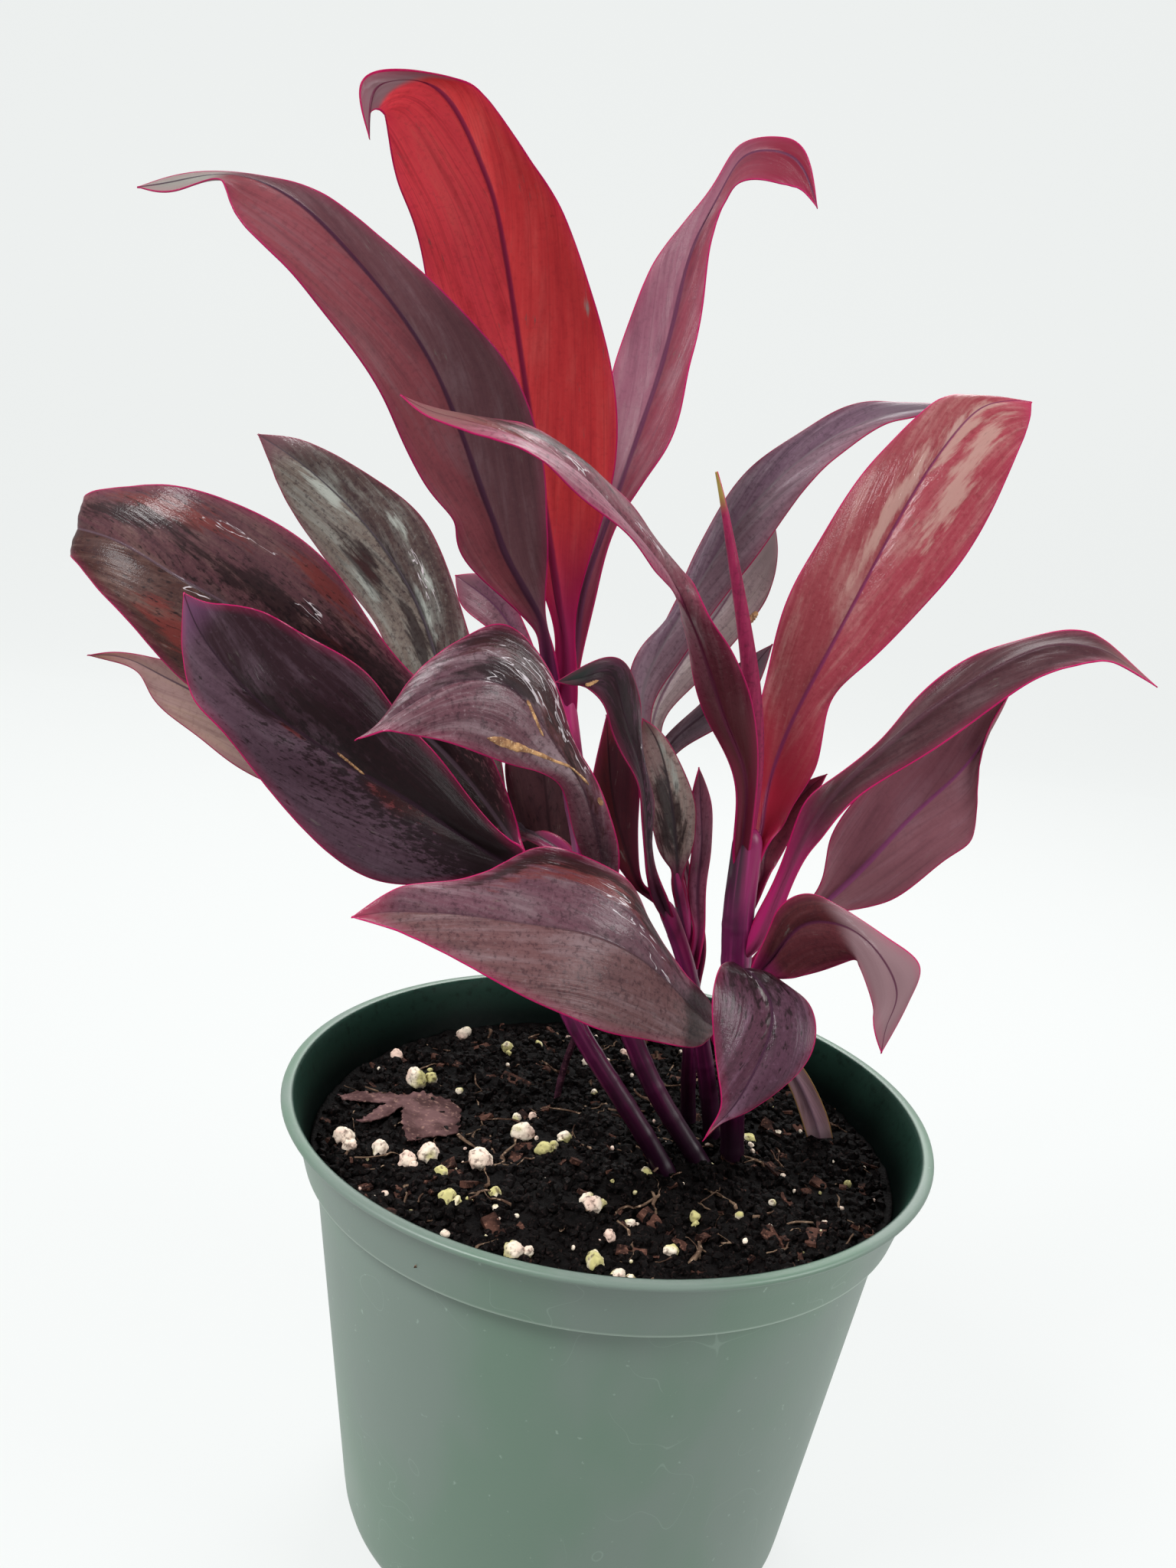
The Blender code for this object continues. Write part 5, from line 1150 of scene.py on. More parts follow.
def blade_surface(stations, rows, columns, look):
    """Middle surface of a leaf on a fine grid, with each point's place on the blade in mm."""
    stations = rooted(stations)
    path = spline(stations, rows)
    mid, left, right = path[:, 0:3], path[:, 3:6], path[:, 6:9]
    run = lengths(mid)
    run = run - np.interp(1, np.linspace(0, len(stations) - 1, rows), run)
    # The petiole widens where it clasps the cane
    clasp = 1 + (look["sheath"] - 1) * np.exp(-(run / 11) ** 2)[:, None]
    left, right = mid + (left - mid) * clasp, mid + (right - mid) * clasp
    width = np.linalg.norm(right - left, axis=1) / 2
    side = unit(right - left)
    # The blade keeps a small width up to its tip, so that no face collapses
    for i in range(1, rows):
        if width[i] < TIP_HALF_WIDTH:
            side[i] = side[i - 1]
            width[i] = TIP_HALF_WIDTH
            left[i] = mid[i] - TIP_HALF_WIDTH * side[i]
            right[i] = mid[i] + TIP_HALF_WIDTH * side[i]
    ahead = unit(np.gradient(mid, axis=0))
    face = unit(np.cross(side, ahead))
    # Columns lie closer together at the midrib and the margins
    u = np.linspace(-1, 1, columns)
    u = (u - 0.08 * np.sin(2 * np.pi * u))[None, :, None]
    edge = np.where(u < 0, left[:, None], right[:, None])
    camber = -CAMBER if look["under"] else CAMBER
    grid = mid[:, None] + abs(u) * (edge - mid[:, None])
    grid = grid + (face * camber * width[:, None])[:, None] * np.sin(np.pi * abs(u))
    half = np.linalg.norm(edge - mid[:, None], axis=2)
    reach = u[:, :, 0] * half
    share = np.maximum(run / run[-1], 0)
    return grid, {
        "u": np.broadcast_to(u[:, :, 0], reach.shape),
        "reach": reach,
        "edge": (1 - abs(u[:, :, 0])) * half,
        "run": np.broadcast_to(run[:, None], reach.shape),
        "share": np.broadcast_to(share[:, None], reach.shape),
        "half": half,
    }


def grid_normals(grid):
    """Unit normals of a grid of points."""
    across = np.gradient(grid, axis=1)
    along = np.gradient(grid, axis=0)
    return unit(np.cross(across, along))


def closed_sheet(top, low):
    """Points and faces of a thin closed body between two grids."""
    points = np.concatenate([top.reshape(-1, 3), low.reshape(-1, 3)])
    a, b = np.arange(len(points)).reshape(2, *top.shape[:2])
    quads = (
        (a[:-1, :-1], a[:-1, 1:], a[1:, 1:], a[1:, :-1]),
        (b[:-1, :-1], b[1:, :-1], b[1:, 1:], b[:-1, 1:]),
        (a[:-1, 0], a[1:, 0], b[1:, 0], b[:-1, 0]),
        (a[1:, -1], a[:-1, -1], b[:-1, -1], b[1:, -1]),
        (a[0, 1:], a[0, :-1], b[0, :-1], b[0, 1:]),
        (a[-1, :-1], a[-1, 1:], b[-1, 1:], b[-1, :-1]),
    )
    return points, [face for quad in quads for face in np.stack(quad, -1).reshape(-1, 4).tolist()]


def leaf_blade(name, stations, look, sizes, finish):
    """One leaf, closed all round: channelled petiole, ribbed and pleated blade, waved margins."""
    grid, at = blade_surface(stations, sizes.rows, sizes.columns, look)
    up = -1.0 if look["under"] else 1.0
    phase = np.random.default_rng(sum(ord(c) for c in name)).uniform(0, 2 * np.pi, 8)
    out = abs(at["u"])
    open_blade = smooth(at["half"], 2.0, 7.0) * smooth(at["share"], 1.0, 0.9)
    petiole = np.clip(1 - at["share"] / PETIOLE_SHARE, 0, 1)
    vein = at["run"] - VEIN_SLOPE * abs(at["reach"]) * (0.6 + 0.4 * out)
    # What lifts the surface: channel over the midrib, folds between veins, waves and the curled petiole
    groove = -up * 0.45 * np.exp(-(at["reach"] / 1.4) ** 2) * (1 - 0.6 * at["share"])
    drift = 2.5 * np.sin(vein / 31 + phase[0])
    pleat = sizes.pleat / MM * np.sin(2 * np.pi * vein / (VEIN_SLOPE * PLEAT_WIDTH) + drift)
    sway = np.where(at["u"] < 0, phase[1], phase[2])
    wave = sizes.wave / MM * at["u"] * out ** 3 * np.sin(2 * np.pi * at["run"] / EDGE_WAVE_LENGTH + sway)
    swell = 0.0
    for i, (high, along, across) in enumerate(SWELLS):
        bend, tilt = phase[3 + 2 * i], phase[4 + 2 * i]
        swell += high * np.sin(at["run"] / along + bend) * np.sin(at["reach"] / across + tilt) * out
    curl = up * petiole * smooth(out, 0.2, 1.0) * np.minimum(0.5 * at["half"], 1.3)
    lift = (groove + pleat + wave + swell) * open_blade + curl
    grid = grid + grid_normals(grid) * lift[:, :, None]
    normal = grid_normals(grid)
    blade, stalk = sizes.blade / MM, sizes.petiole / MM
    thick = (blade + (stalk - blade) * petiole) * (1 - 0.45 * smooth(out, 0.8, 1.0))
    thick = thick * (1 - 0.5 * smooth(at["share"], 0.95, 1.0))
    rib = sizes.rib / MM * np.exp(-(at["reach"] / 0.8) ** 2) * (1 - at["share"]) ** 0.7
    front = grid + normal * (thick / 2 + (rib if look["under"] else 0))[:, :, None]
    behind = grid - normal * (thick / 2 + (0 if look["under"] else rib))[:, :, None]
    marks = {kind: np.zeros(out.shape) for kind in ("dark", "rust", "pale_sheen", "crumple", "crease_glint")}
    for kind, spots in look["marks"].items():
        for share, u, long_mm, wide_mm in spots:
            along = (at["share"] - share) * at["run"][-1, 0] / (long_mm / 2)
            across = (at["u"] - u) * at["half"] / (wide_mm / 2)
            marks[kind] = np.maximum(marks[kind], np.exp(-along ** 2 - across ** 2))
    vectors = {
        "blade_place": (at["reach"], at["edge"], at["share"]),
        "vein_place": (vein, at["run"], np.where(at["u"] < 0, 40.0, 0.0)),
        "marks": (marks["dark"], marks["rust"], marks["pale_sheen"]),
    }
    vectors = {key: np.tile(np.stack(value, -1).reshape(-1, 3), (2, 1)) for key, value in vectors.items()}
    fields = {"back_side": np.repeat([0.0, 1.0], out.size)}
    # crumple marks roughen the gloss; crease-glint marks, kept as creased, place the painted highlights
    for field, kind in (("crumpled", "crumple"), ("creased", "crease_glint")):
        fields[field] = np.tile(marks[kind].ravel(), 2)
    piece = new_piece(name, *closed_sheet(front, behind), finish, fields, vectors)
    return piece, front, at


def scar(name, path, front, at, finish):
    """Raised strip of dead tissue draped on a leaf along rows of share, u and half width in mm."""
    track = spline(path, 70)
    row = np.interp(track[:, 0], at["share"][:, 0], np.arange(len(front)))
    column = np.interp(track[:, 1], at["u"][0], np.arange(front.shape[1]))
    i, j = np.minimum(row.astype(int), len(front) - 2), np.minimum(column.astype(int), front.shape[1] - 2)
    f, g = (row - i)[:, None], (column - j)[:, None]
    line = (1 - f) * ((1 - g) * front[i, j] + g * front[i, j + 1])
    line += f * ((1 - g) * front[i + 1, j] + g * front[i + 1, j + 1])
    normal = grid_normals(front)[i, j]
    side = unit(np.cross(normal, np.gradient(line, axis=0)))
    steps = np.arange(len(track))
    ends = np.sqrt(np.clip(np.minimum(steps, steps[::-1]) / 4, 0.02, 1))
    half = track[:, 2] * ends
    top, low = [], []
    for step in np.linspace(-1, 1, 7):
        rough = 1 + 0.12 * np.sin(steps * 0.5 + 3 * np.sign(step)) + 0.06 * np.sin(steps * 1.3 + step)
        across = line + side * (half * step * rough)[:, None]
        top.append(across + normal * (0.16 * (1 - step ** 2) + 0.02))
        low.append(across - normal * 0.15)
    return new_piece(name, *closed_sheet(np.stack(top, 1)[::-1], np.stack(low, 1)[::-1]), finish)


def sweep(path, sides, radius_at=None):
    """Points and faces of a closed tube along rows of x, y, z and radius in mm."""
    count = len(path)
    side = np.array((1.0, 0.0, 0.0))
    turns = np.linspace(0, 2 * np.pi, sides, endpoint=False)
    points = []
    for i, row in enumerate(path):
        ahead = unit(path[min(i + 1, count - 1), :3] - path[max(i - 1, 0), :3])
        side = unit(side - ahead * side.dot(ahead))
        other = np.cross(ahead, side)
        radius = row[3] * (np.ones(sides) if radius_at is None else radius_at(i / (count - 1), turns))
        ring = np.cos(turns)[:, None] * side + np.sin(turns)[:, None] * other
        points.extend(row[:3] + radius[:, None] * ring)
    faces = [tuple(range(sides))[::-1], tuple(range((count - 1) * sides, count * sides))]
    for i in range(count - 1):
        for k in range(sides):
            near, step = i * sides, (k + 1) % sides
            faces.append((near + k, near + step, near + sides + step, near + sides + k))
    return np.array(points), faces


def cane(name, sizes, finish, girth=1.0):
    """One cane: low rings that fallen leaves left, the ridge of a clasping sheath, and a rounded top."""
    path = spline(STEMS[name], 170)
    ahead = unit(path[-1, :3] - path[-2, :3])
    crown = [(*(path[-1, :3] + ahead * reach), path[-1, 3] * scale) for reach, scale in CROWN]
    path = np.vstack([path, crown])
    run = lengths(path[:, :3])
    spacing, height = sizes.ring_spacing / MM, sizes.ring_height / MM
    beat = (run + 1.3 * np.sin(run / 7)) / spacing
    ring = np.exp(-((beat - np.round(beat)) * 9) ** 2) * smooth(run, run[-1] - 12, run[-1] - 30)
    path[:, 3] = path[:, 3] * girth + height * ring

    def radius_at(share, turns):
        lap = ((turns + 2.2 + 0.8 * share) % (2 * np.pi)) / (2 * np.pi)
        uneven = 0.02 * np.sin(3 * turns + 9 * share) + 0.012 * np.sin(7 * turns - 25 * share)
        return 1 + uneven + 0.12 * (lap - 0.5) * smooth(share, 0.45, 0.75)

    sides = 28
    points, faces = sweep(path, sides, radius_at)
    middle = np.repeat(path[:, :3], sides, axis=0)
    turned = unit(points - middle) * np.array((1, 1, 0))
    turned[:, 2] = np.repeat(run, sides)
    left_over = np.repeat(run[-1] - run, sides)
    return new_piece(name + "_skin", points, faces, finish, {"below_top": left_over}, {"skin_place": turned})


def rolled_leaf(name, look, sizes):
    """New leaf still rolled into a spike: its outer margin laps over and shows as a step along it."""
    path = spline(STEMS[name], 140)
    turns = np.linspace(0, 2 * np.pi, 40, endpoint=False)

    def radius_at(share, angles):
        lap = (angles + LAP_START + LAP_TWIST * share) % (2 * np.pi)
        return 0.88 + 0.24 * lap / (2 * np.pi)

    points, faces = sweep(path, 40, radius_at)
    run = np.linspace(0, 90, len(path))
    steps = np.linspace(0, 1, len(path))[:, None]
    lap = (turns[None, :] + LAP_START + LAP_TWIST * steps) % (2 * np.pi)
    reach = lap * path[:, 3:4] * 1.2 + 2
    share = np.broadcast_to(steps, reach.shape)
    along = np.broadcast_to(run[:, None], reach.shape)
    edge = (2 * np.pi - lap) * path[:, 3:4]
    vectors = {
        "blade_place": np.stack([reach, edge, share], -1).reshape(-1, 3),
        "vein_place": np.stack([along - VEIN_SLOPE * reach, along, 0 * reach], -1).reshape(-1, 3),
        "marks": np.zeros((reach.size, 3)),
    }
    finish = leaf_skin(name, look, sizes)
    fields = {"back_side": np.zeros(reach.size), "crumpled": np.zeros(reach.size)}
    return new_piece(name + "_rolled", points, faces, finish, fields, vectors)


def in_fragment(x, y, margin):
    """Whether a place is under the fallen fragment, or near it."""
    return -72 - margin < x < -36 + margin and -14 - margin < y < 15 + margin


def soil_height(x, y):
    """Uneven surface of the mix, level at the rim and under the fallen fragment."""
    swell = 0.8 * math.sin(0.11 * x + 1.3) * math.cos(0.09 * y) + 0.6 * math.sin(0.21 * x + 0.27 * y)
    mound = 1.2 * math.exp(-((x - 25) ** 2 + (y - 2) ** 2) / 500)
    fade = min(1.0, max(0.0, (SOIL_EDGE - math.hypot(x, y)) / 8))
    if in_fragment(x, y, 5):
        fade = 0.0
    return SOIL_LEVEL + fade * (0.4 + swell + mound)


def lumpy_height(x, y, lump_mm):
    """Surface of the mix with its lumps, in mm."""
    place = Vector((x, y, 3.0))
    lumps = 0.6 * noise.noise(place * 0.16) + 0.5 * noise.noise(place * 0.42) + 0.3 * noise.noise(place * 1.1)
    return soil_height(x, y) + lump_mm * (lumps - 0.1)


def mix_top(lump_mm, rings, sides):
    """Rings of points over the mix, from its middle to its edge, in mm."""
    points = [(0, 0, lumpy_height(0, 0, lump_mm))]
    for ring in range(1, rings + 1):
        radius = SOIL_EDGE * ring / rings
        for k in range(sides):
            turn = 2 * math.pi * k / sides
            x, y = radius * math.cos(turn), radius * math.sin(turn)
            points.append((x, y, lumpy_height(x, y, lump_mm)))
    return points


def ring_faces(rings, sides):
    """Faces that join a middle point and rings of points, looking up."""
    faces = [(0, 1 + k, 1 + (k + 1) % sides) for k in range(sides)]
    for i in range(rings - 1):
        near = 1 + i * sides
        for k in range(sides):
            step = (k + 1) % sides
            faces.append((near + k, near + sides + k, near + sides + step, near + step))
    return faces


def turned_tree():
    """Geometry Nodes tree that turns an outline, as points at radius x and height z, into a closed shell."""
    tree, given = start_tree("turned_shell", {
        "Sides": "NodeSocketInt", "Outline points": "NodeSocketInt", "Finish": "NodeSocketMaterial",
    })
    across = add_node(tree, "ShaderNodeMath", {0: given["Sides"], 1: 1.0}, operation="ADD").outputs[0]
    grid = add_node(
        tree, "GeometryNodeMeshGrid", {"Vertices X": across, "Vertices Y": given["Outline points"]}
    )
    index = add_node(tree, "GeometryNodeInputIndex").outputs[0]
    ratio = add_node(
        tree, "ShaderNodeMath", {0: index, 1: given["Outline points"]}, operation="DIVIDE"
    ).outputs[0]
    column = add_node(tree, "ShaderNodeMath", {0: ratio}, operation="FLOOR").outputs[0]
    row = add_node(
        tree, "ShaderNodeMath", {0: index, 1: given["Outline points"]}, operation="MODULO"
    ).outputs[0]
    turn = add_node(tree, "ShaderNodeMath", {0: column, 1: given["Sides"]}, operation="DIVIDE").outputs[0]
    angle = add_node(tree, "ShaderNodeMath", {0: turn, 1: 2 * math.pi}, operation="MULTIPLY").outputs[0]
    outline_place = add_node(tree, "GeometryNodeInputPosition").outputs[0]
    sampled = add_node(
        tree, "GeometryNodeSampleIndex",
        {"Geometry": given["Geometry"], "Value": outline_place, "Index": row}, data_type="FLOAT_VECTOR",
    ).outputs[0]
    fields = {}
    for label in ("inner", "worn"):
        here = add_node(
            tree, "GeometryNodeInputNamedAttribute", {"Name": label}, data_type="FLOAT"
        ).outputs[0]
        fields[label] = add_node(
            tree, "GeometryNodeSampleIndex", {"Geometry": given["Geometry"], "Value": here, "Index": row},
            data_type="FLOAT",
        ).outputs[0]
    turned = add_node(
        tree, "ShaderNodeVectorRotate", {"Vector": sampled, "Angle": angle}, rotation_type="Z_AXIS"
    ).outputs[0]
    kept = add_node(tree, "GeometryNodeSetPosition", {"Geometry": grid.outputs[0], "Position": turned})
    for label, value in fields.items():
        kept = add_node(
            tree, "GeometryNodeStoreNamedAttribute",
            {"Geometry": kept.outputs[0], "Name": label, "Value": value}, data_type="FLOAT", domain="POINT",
        )
    welded = add_node(
        tree, "GeometryNodeMergeByDistance", {"Geometry": kept.outputs[0], "Distance": 0.002 * MM}
    )
    end_tree(tree, welded.outputs[0], given["Finish"])
    return tree


def grain_tree():
    """Geometry Nodes tree that puts a ragged rounded grain on each point, sized by the point's own size."""
    tree, given = start_tree("perlite_grains", {
        "Detail": "NodeSocketInt", "Seed": "NodeSocketInt", "Finish": "NodeSocketMaterial",
    })
    ball = add_node(tree, "GeometryNodeMeshIcoSphere", {"Radius": 1.0, "Subdivisions": given["Detail"]})
    size = add_node(tree, "GeometryNodeInputNamedAttribute", {"Name": "size"}, data_type="FLOAT").outputs[0]
    turn = add_node(
        tree, "FunctionNodeRandomValue", {"Max": (6.28, 6.28, 6.28), "Seed": given["Seed"]},
        data_type="FLOAT_VECTOR",
    ).outputs[0]
    squeeze = add_node(
        tree, "FunctionNodeRandomValue",
        {"Min": (0.82, 0.82, 0.72), "Max": (1.12, 1.12, 0.98), "Seed": given["Seed"]},
        data_type="FLOAT_VECTOR",
    ).outputs[0]
    scale = add_node(tree, "ShaderNodeVectorMath", {0: squeeze, "Scale": size}, operation="SCALE").outputs[0]
    grains = add_node(
        tree, "GeometryNodeInstanceOnPoints",
        {"Points": given["Geometry"], "Instance": ball.outputs[0], "Rotation": turn, "Scale": scale},
    )
    real = add_node(tree, "GeometryNodeRealizeInstances", {"Geometry": grains.outputs[0]})
    rough = ragged(tree, real.outputs[0], 2.1, 0.4)
    end_tree(tree, rough, given["Finish"])
    return tree


def ragged(tree, geometry, size_mm, depth_mm):
    """Push points out and in along their normals by noise of the given size."""
    place = add_node(tree, "GeometryNodeInputPosition").outputs[0]
    normal = add_node(tree, "GeometryNodeInputNormal").outputs[0]
    field = add_node(
        tree, "ShaderNodeTexNoise", {"Vector": place, "Scale": 1 / (size_mm * MM), "Detail": 2.0}
    ).outputs["Fac"]
    push = add_node(
        tree, "ShaderNodeMapRange", {0: field, 1: 0.3, 2: 0.7, 3: -depth_mm * MM, 4: depth_mm * MM}
    ).outputs[0]
    offset = add_node(tree, "ShaderNodeVectorMath", {0: normal, "Scale": push}, operation="SCALE").outputs[0]
    return add_node(tree, "GeometryNodeSetPosition", {"Geometry": geometry, "Offset": offset}).outputs[0]


def strewn_tree(name, shape, flat, lie):
    """Geometry Nodes tree that strews bits over a surface: shape is crumb, chip or rootlet."""
    tree, given = start_tree(name, {
        "Per square metre": "NodeSocketFloat", "Smallest": "NodeSocketFloat", "Largest": "NodeSocketFloat",
        "Seed": "NodeSocketInt", "Finish": "NodeSocketMaterial",
    })
    points = add_node(
        tree, "GeometryNodeDistributePointsOnFaces",
        {"Mesh": given["Geometry"], "Density": given["Per square metre"], "Seed": given["Seed"]},
    )
    if shape == "crumb":
        bit = add_node(tree, "GeometryNodeMeshIcoSphere", {"Radius": 1.0, "Subdivisions": 1}).outputs[0]
    elif shape == "chip":
        bit = add_node(
            tree, "GeometryNodeMeshCube",
            {"Size": (2.0, 0.8, 0.35), "Vertices X": 5, "Vertices Y": 3, "Vertices Z": 2},
        ).outputs[0]
    else:
        line = add_node(
            tree, "GeometryNodeCurvePrimitiveLine", {"Start": (-1.0, 0, 0), "End": (1.0, 0, 0)}
        )
        fine_line = add_node(tree, "GeometryNodeResampleCurve", {"Curve": line.outputs[0], "Count": 11})
        ring = add_node(tree, "GeometryNodeCurvePrimitiveCircle", {"Resolution": 4, "Radius": 0.042})
        bit = add_node(
            tree, "GeometryNodeCurveToMesh",
            {"Curve": fine_line.outputs[0], "Profile Curve": ring.outputs[0], "Fill Caps": True},
        ).outputs[0]
    turn = add_node(
        tree, "FunctionNodeRandomValue",
        {"Min": (-lie, -lie, 0.0), "Max": (lie, lie, 6.28), "Seed": given["Seed"]}, data_type="FLOAT_VECTOR",
    ).outputs[0]
    squeeze = add_node(
        tree, "FunctionNodeRandomValue",
        {"Min": (0.6, 0.6, 0.6 * flat), "Max": (1.3, 1.3, 1.3 * flat), "Seed": given["Seed"]},
        data_type="FLOAT_VECTOR",
    ).outputs[0]
    size = add_node(
        tree, "FunctionNodeRandomValue",
        {2: given["Smallest"], 3: given["Largest"], "Seed": given["Seed"]}, data_type="FLOAT",
    ).outputs[1]
    scale = add_node(tree, "ShaderNodeVectorMath", {0: squeeze, "Scale": size}, operation="SCALE").outputs[0]
    bits = add_node(
        tree, "GeometryNodeInstanceOnPoints",
        {"Points": points.outputs[0], "Instance": bit, "Rotation": turn, "Scale": scale},
    )
    real = add_node(tree, "GeometryNodeRealizeInstances", {"Geometry": bits.outputs[0]}).outputs[0]
    if shape == "rootlet":
        place = add_node(tree, "GeometryNodeInputPosition").outputs[0]
        field = add_node(
            tree, "ShaderNodeTexNoise", {"Vector": place, "Scale": 1 / (9 * MM), "Detail": 2.0}
        ).outputs["Color"]
        centred = add_node(
            tree, "ShaderNodeVectorMath", {0: field, 1: (0.5, 0.5, 0.42)}, operation="SUBTRACT"
        ).outputs[0]
        offset = add_node(
            tree, "ShaderNodeVectorMath", {0: centred, 1: (14 * MM, 14 * MM, 5 * MM)}, operation="MULTIPLY"
        ).outputs[0]
        real = add_node(tree, "GeometryNodeSetPosition", {"Geometry": real, "Offset": offset}).outputs[0]
    else:
        real = ragged(tree, real, 1.6, 0.25)
    end_tree(tree, real, given["Finish"], shade=shape == "rootlet")
    return tree


class PLANT_OT_pot(bpy.types.Operator):
    """Turn the moulded pot from its outline and cut its drain holes"""

    bl_idname = "ti_plant.pot"
    bl_label = "Pot"

    def execute(self, context):
        sizes = context.scene.ti_plant.pot
        outline = POT_OUTSIDE + POT_INSIDE
        inner = [0.0] * (len(POT_OUTSIDE) + 1) + [1.0] * (len(POT_INSIDE) - 1)
        # Where the band's ledge gets its painted highlight
        worn = [LEDGE_HIGHLIGHTS.get(point, 0.0) for point in outline]
        points = [(r, 0, z) for r, z in outline]
        pot = new_piece("moulded_pot", points, [], None, {"inner": inner, "worn": worn})
        finish = pot_plastic(sizes)
        run_tree(pot, turned_tree(), {
            "Sides": sizes.sides, "Outline points": len(outline), "Finish": finish,
        })
        for k in range(DRAIN_COUNT):
            turn = 2 * math.pi * (k + 0.5) / DRAIN_COUNT
            x, y = DRAIN_RING * math.cos(turn), DRAIN_RING * math.sin(turn)
            path = np.array(((x, y, -2.0, DRAIN_RADIUS), (x, y, 4.0, DRAIN_RADIUS)))
            plug = new_piece("drain", *sweep(path, 32), None)
            cut = pot.modifiers.new("Drain", "BOOLEAN")
            cut.operation = "DIFFERENCE"
            cut.object = plug
            plain(pot)
            bpy.data.objects.remove(plug, do_unlink=True)
        pot.data.set_sharp_from_angle(angle=math.radians(50))
        dress(pot, "pot", "pot")
        return {"FINISHED"}


class PLANT_OT_mix(bpy.types.Operator):
    """Fill the pot with potting mix"""

    bl_idname = "ti_plant.mix"
    bl_label = "Potting mix"

    def execute(self, context):
        sizes = context.scene.ti_plant.mix
        rings, sides = 110, 240
        points = mix_top(sizes.lump / MM, rings, sides)
        faces = ring_faces(rings, sides)
        for i, (radius, z) in enumerate(SOIL_SIDE[:-1]):
            start = 1 + (rings + i - 1) * sides
            for k in range(sides):
                turn = 2 * math.pi * k / sides
                points.append((radius * math.cos(turn), radius * math.sin(turn), z))
                step = (k + 1) % sides
                faces.append((start + k, start + sides + k, start + sides + step, start + step))
        last = len(points) - sides
        faces.append(tuple(range(last, last + sides))[::-1])
        finish = loose_matter(
            "dark peat mix", tuple(sizes.peat), tuple(sizes.humus), linear("#14100F"), 5.0, 0.7, 0.7
        )
        soil = new_piece("potting_mix", points, faces, finish)
        dress(soil, "soil", "soil")
        return {"FINISHED"}


class PLANT_OT_strewn(bpy.types.Operator):
    """Strew crumbs, bark bits and rootlets over the mix"""

    bl_idname = "ti_plant.strewn"
    bl_label = "Crumbs, bark and rootlets"

    def execute(self, context):
        sizes = context.scene.ti_plant.mix
        area = math.pi * (SOIL_EDGE * MM) ** 2
        peat, humus, bark, rootlet = [
            tuple(paint) for paint in (sizes.peat, sizes.humus, sizes.bark, sizes.rootlet)
        ]
        # Shape, piece, count, smallest and largest in mm, flatness, tilt in radians, material
        kinds = (
            ("crumb", "mix_crumbs", sizes.crumbs, 0.5, 2.0, 0.8, 3.1,
             loose_matter("peat crumbs", peat, humus, linear("#2E2220"), 3.4, 0.3, 0.6)),
            ("chip", "bark_bits", sizes.bark_bits, 0.9, 3.6, 1.0, 0.45,
             loose_matter("composted bark", linear("#1E1210"), bark, linear("#7A5648"), 4.0, 0.3, 0.7)),
            ("rootlet", "rootlets", sizes.rootlets, 2.5, 8.0, 1.0, 0.3,
             loose_matter("dead rootlets", linear("#3E2C24"), rootlet, linear("#B49A82"), 6.0, 0.1)),
        )
        for number, (shape, name, count, small, large, flat, lie, finish) in enumerate(kinds):
            points = mix_top(sizes.lump / MM, 40, 90)
            bits = new_piece(name, points, ring_faces(39, 90), None)
            run_tree(bits, strewn_tree(name, shape, flat, lie), {
                "Per square metre": count / area, "Smallest": small * MM, "Largest": large * MM,
                "Seed": sizes.seed + number, "Finish": finish,
            })
            dress(bits, "soil")
        return {"FINISHED"}


class PLANT_OT_perlite(bpy.types.Operator):
    """Lay the perlite grains on the mix"""

    bl_idname = "ti_plant.perlite"
    bl_label = "Perlite"

    def execute(self, context):
        sizes = context.scene.ti_plant.mix
        rng = random.Random(sizes.seed)
        small = []
        while len(small) < sizes.small_grains:
            x, y = rng.uniform(-72, 72), rng.uniform(-72, 72)
            radius = 0.35 + 1.1 * rng.random() ** 2.2
            if math.hypot(x, y) < 71 and not in_fragment(x, y, 1):
                small.append((x, y, radius))
        # Some large grains have smaller ones stuck to them
        clusters = list(GRAINS)
        for x, y, radius in GRAINS:
            for _ in range(rng.choice((0, 1, 2))):
                turn, smaller = rng.uniform(0, 2 * math.pi), radius * rng.uniform(0.35, 0.7)
                reach = 0.85 * (radius + smaller)
                beside = (x + reach * math.cos(turn), y + reach * math.sin(turn))
                if math.hypot(*beside) < 70 and not in_fragment(*beside, 1):
                    clusters.append((*beside, smaller))
        finish = perlite_glass(sizes)
        tree = grain_tree()
        for name, grains, detail in (("perlite_grains", clusters, 4), ("perlite_dust", small, 2)):
            points = [(x, y, soil_height(x, y) + 0.35 * radius) for x, y, radius in grains]
            piece = new_piece(name, points, [], None, {"size": [radius * MM for _, _, radius in grains]})
            run_tree(piece, tree, {"Detail": detail, "Seed": sizes.seed, "Finish": finish})
            dress(piece, "soil")
        return {"FINISHED"}


class PLANT_OT_canes(bpy.types.Operator):
    """Grow the canes and stalks from the mix"""

    bl_idname = "ti_plant.canes"
    bl_label = "Canes"

    def execute(self, context):
        sizes = context.scene.ti_plant.cane
        dry = loose_matter(
            "dead stalk", linear("#2A1620"), linear("#4A2A38"), linear("#7A5058"), 3.0, 0.2, 0.7
        )
        for name in ROOTED:
            if name == "dry_stalk":
                dress(cane(name, sizes, dry), "dry_leaf", name)
            else:
                shaded, sunny, girth = CANE_LOOKS[name]
                finish = cane_skin(name, sizes, shaded, sunny)
                dress(cane(name, sizes, finish, girth), "cane", name)
        return {"FINISHED"}


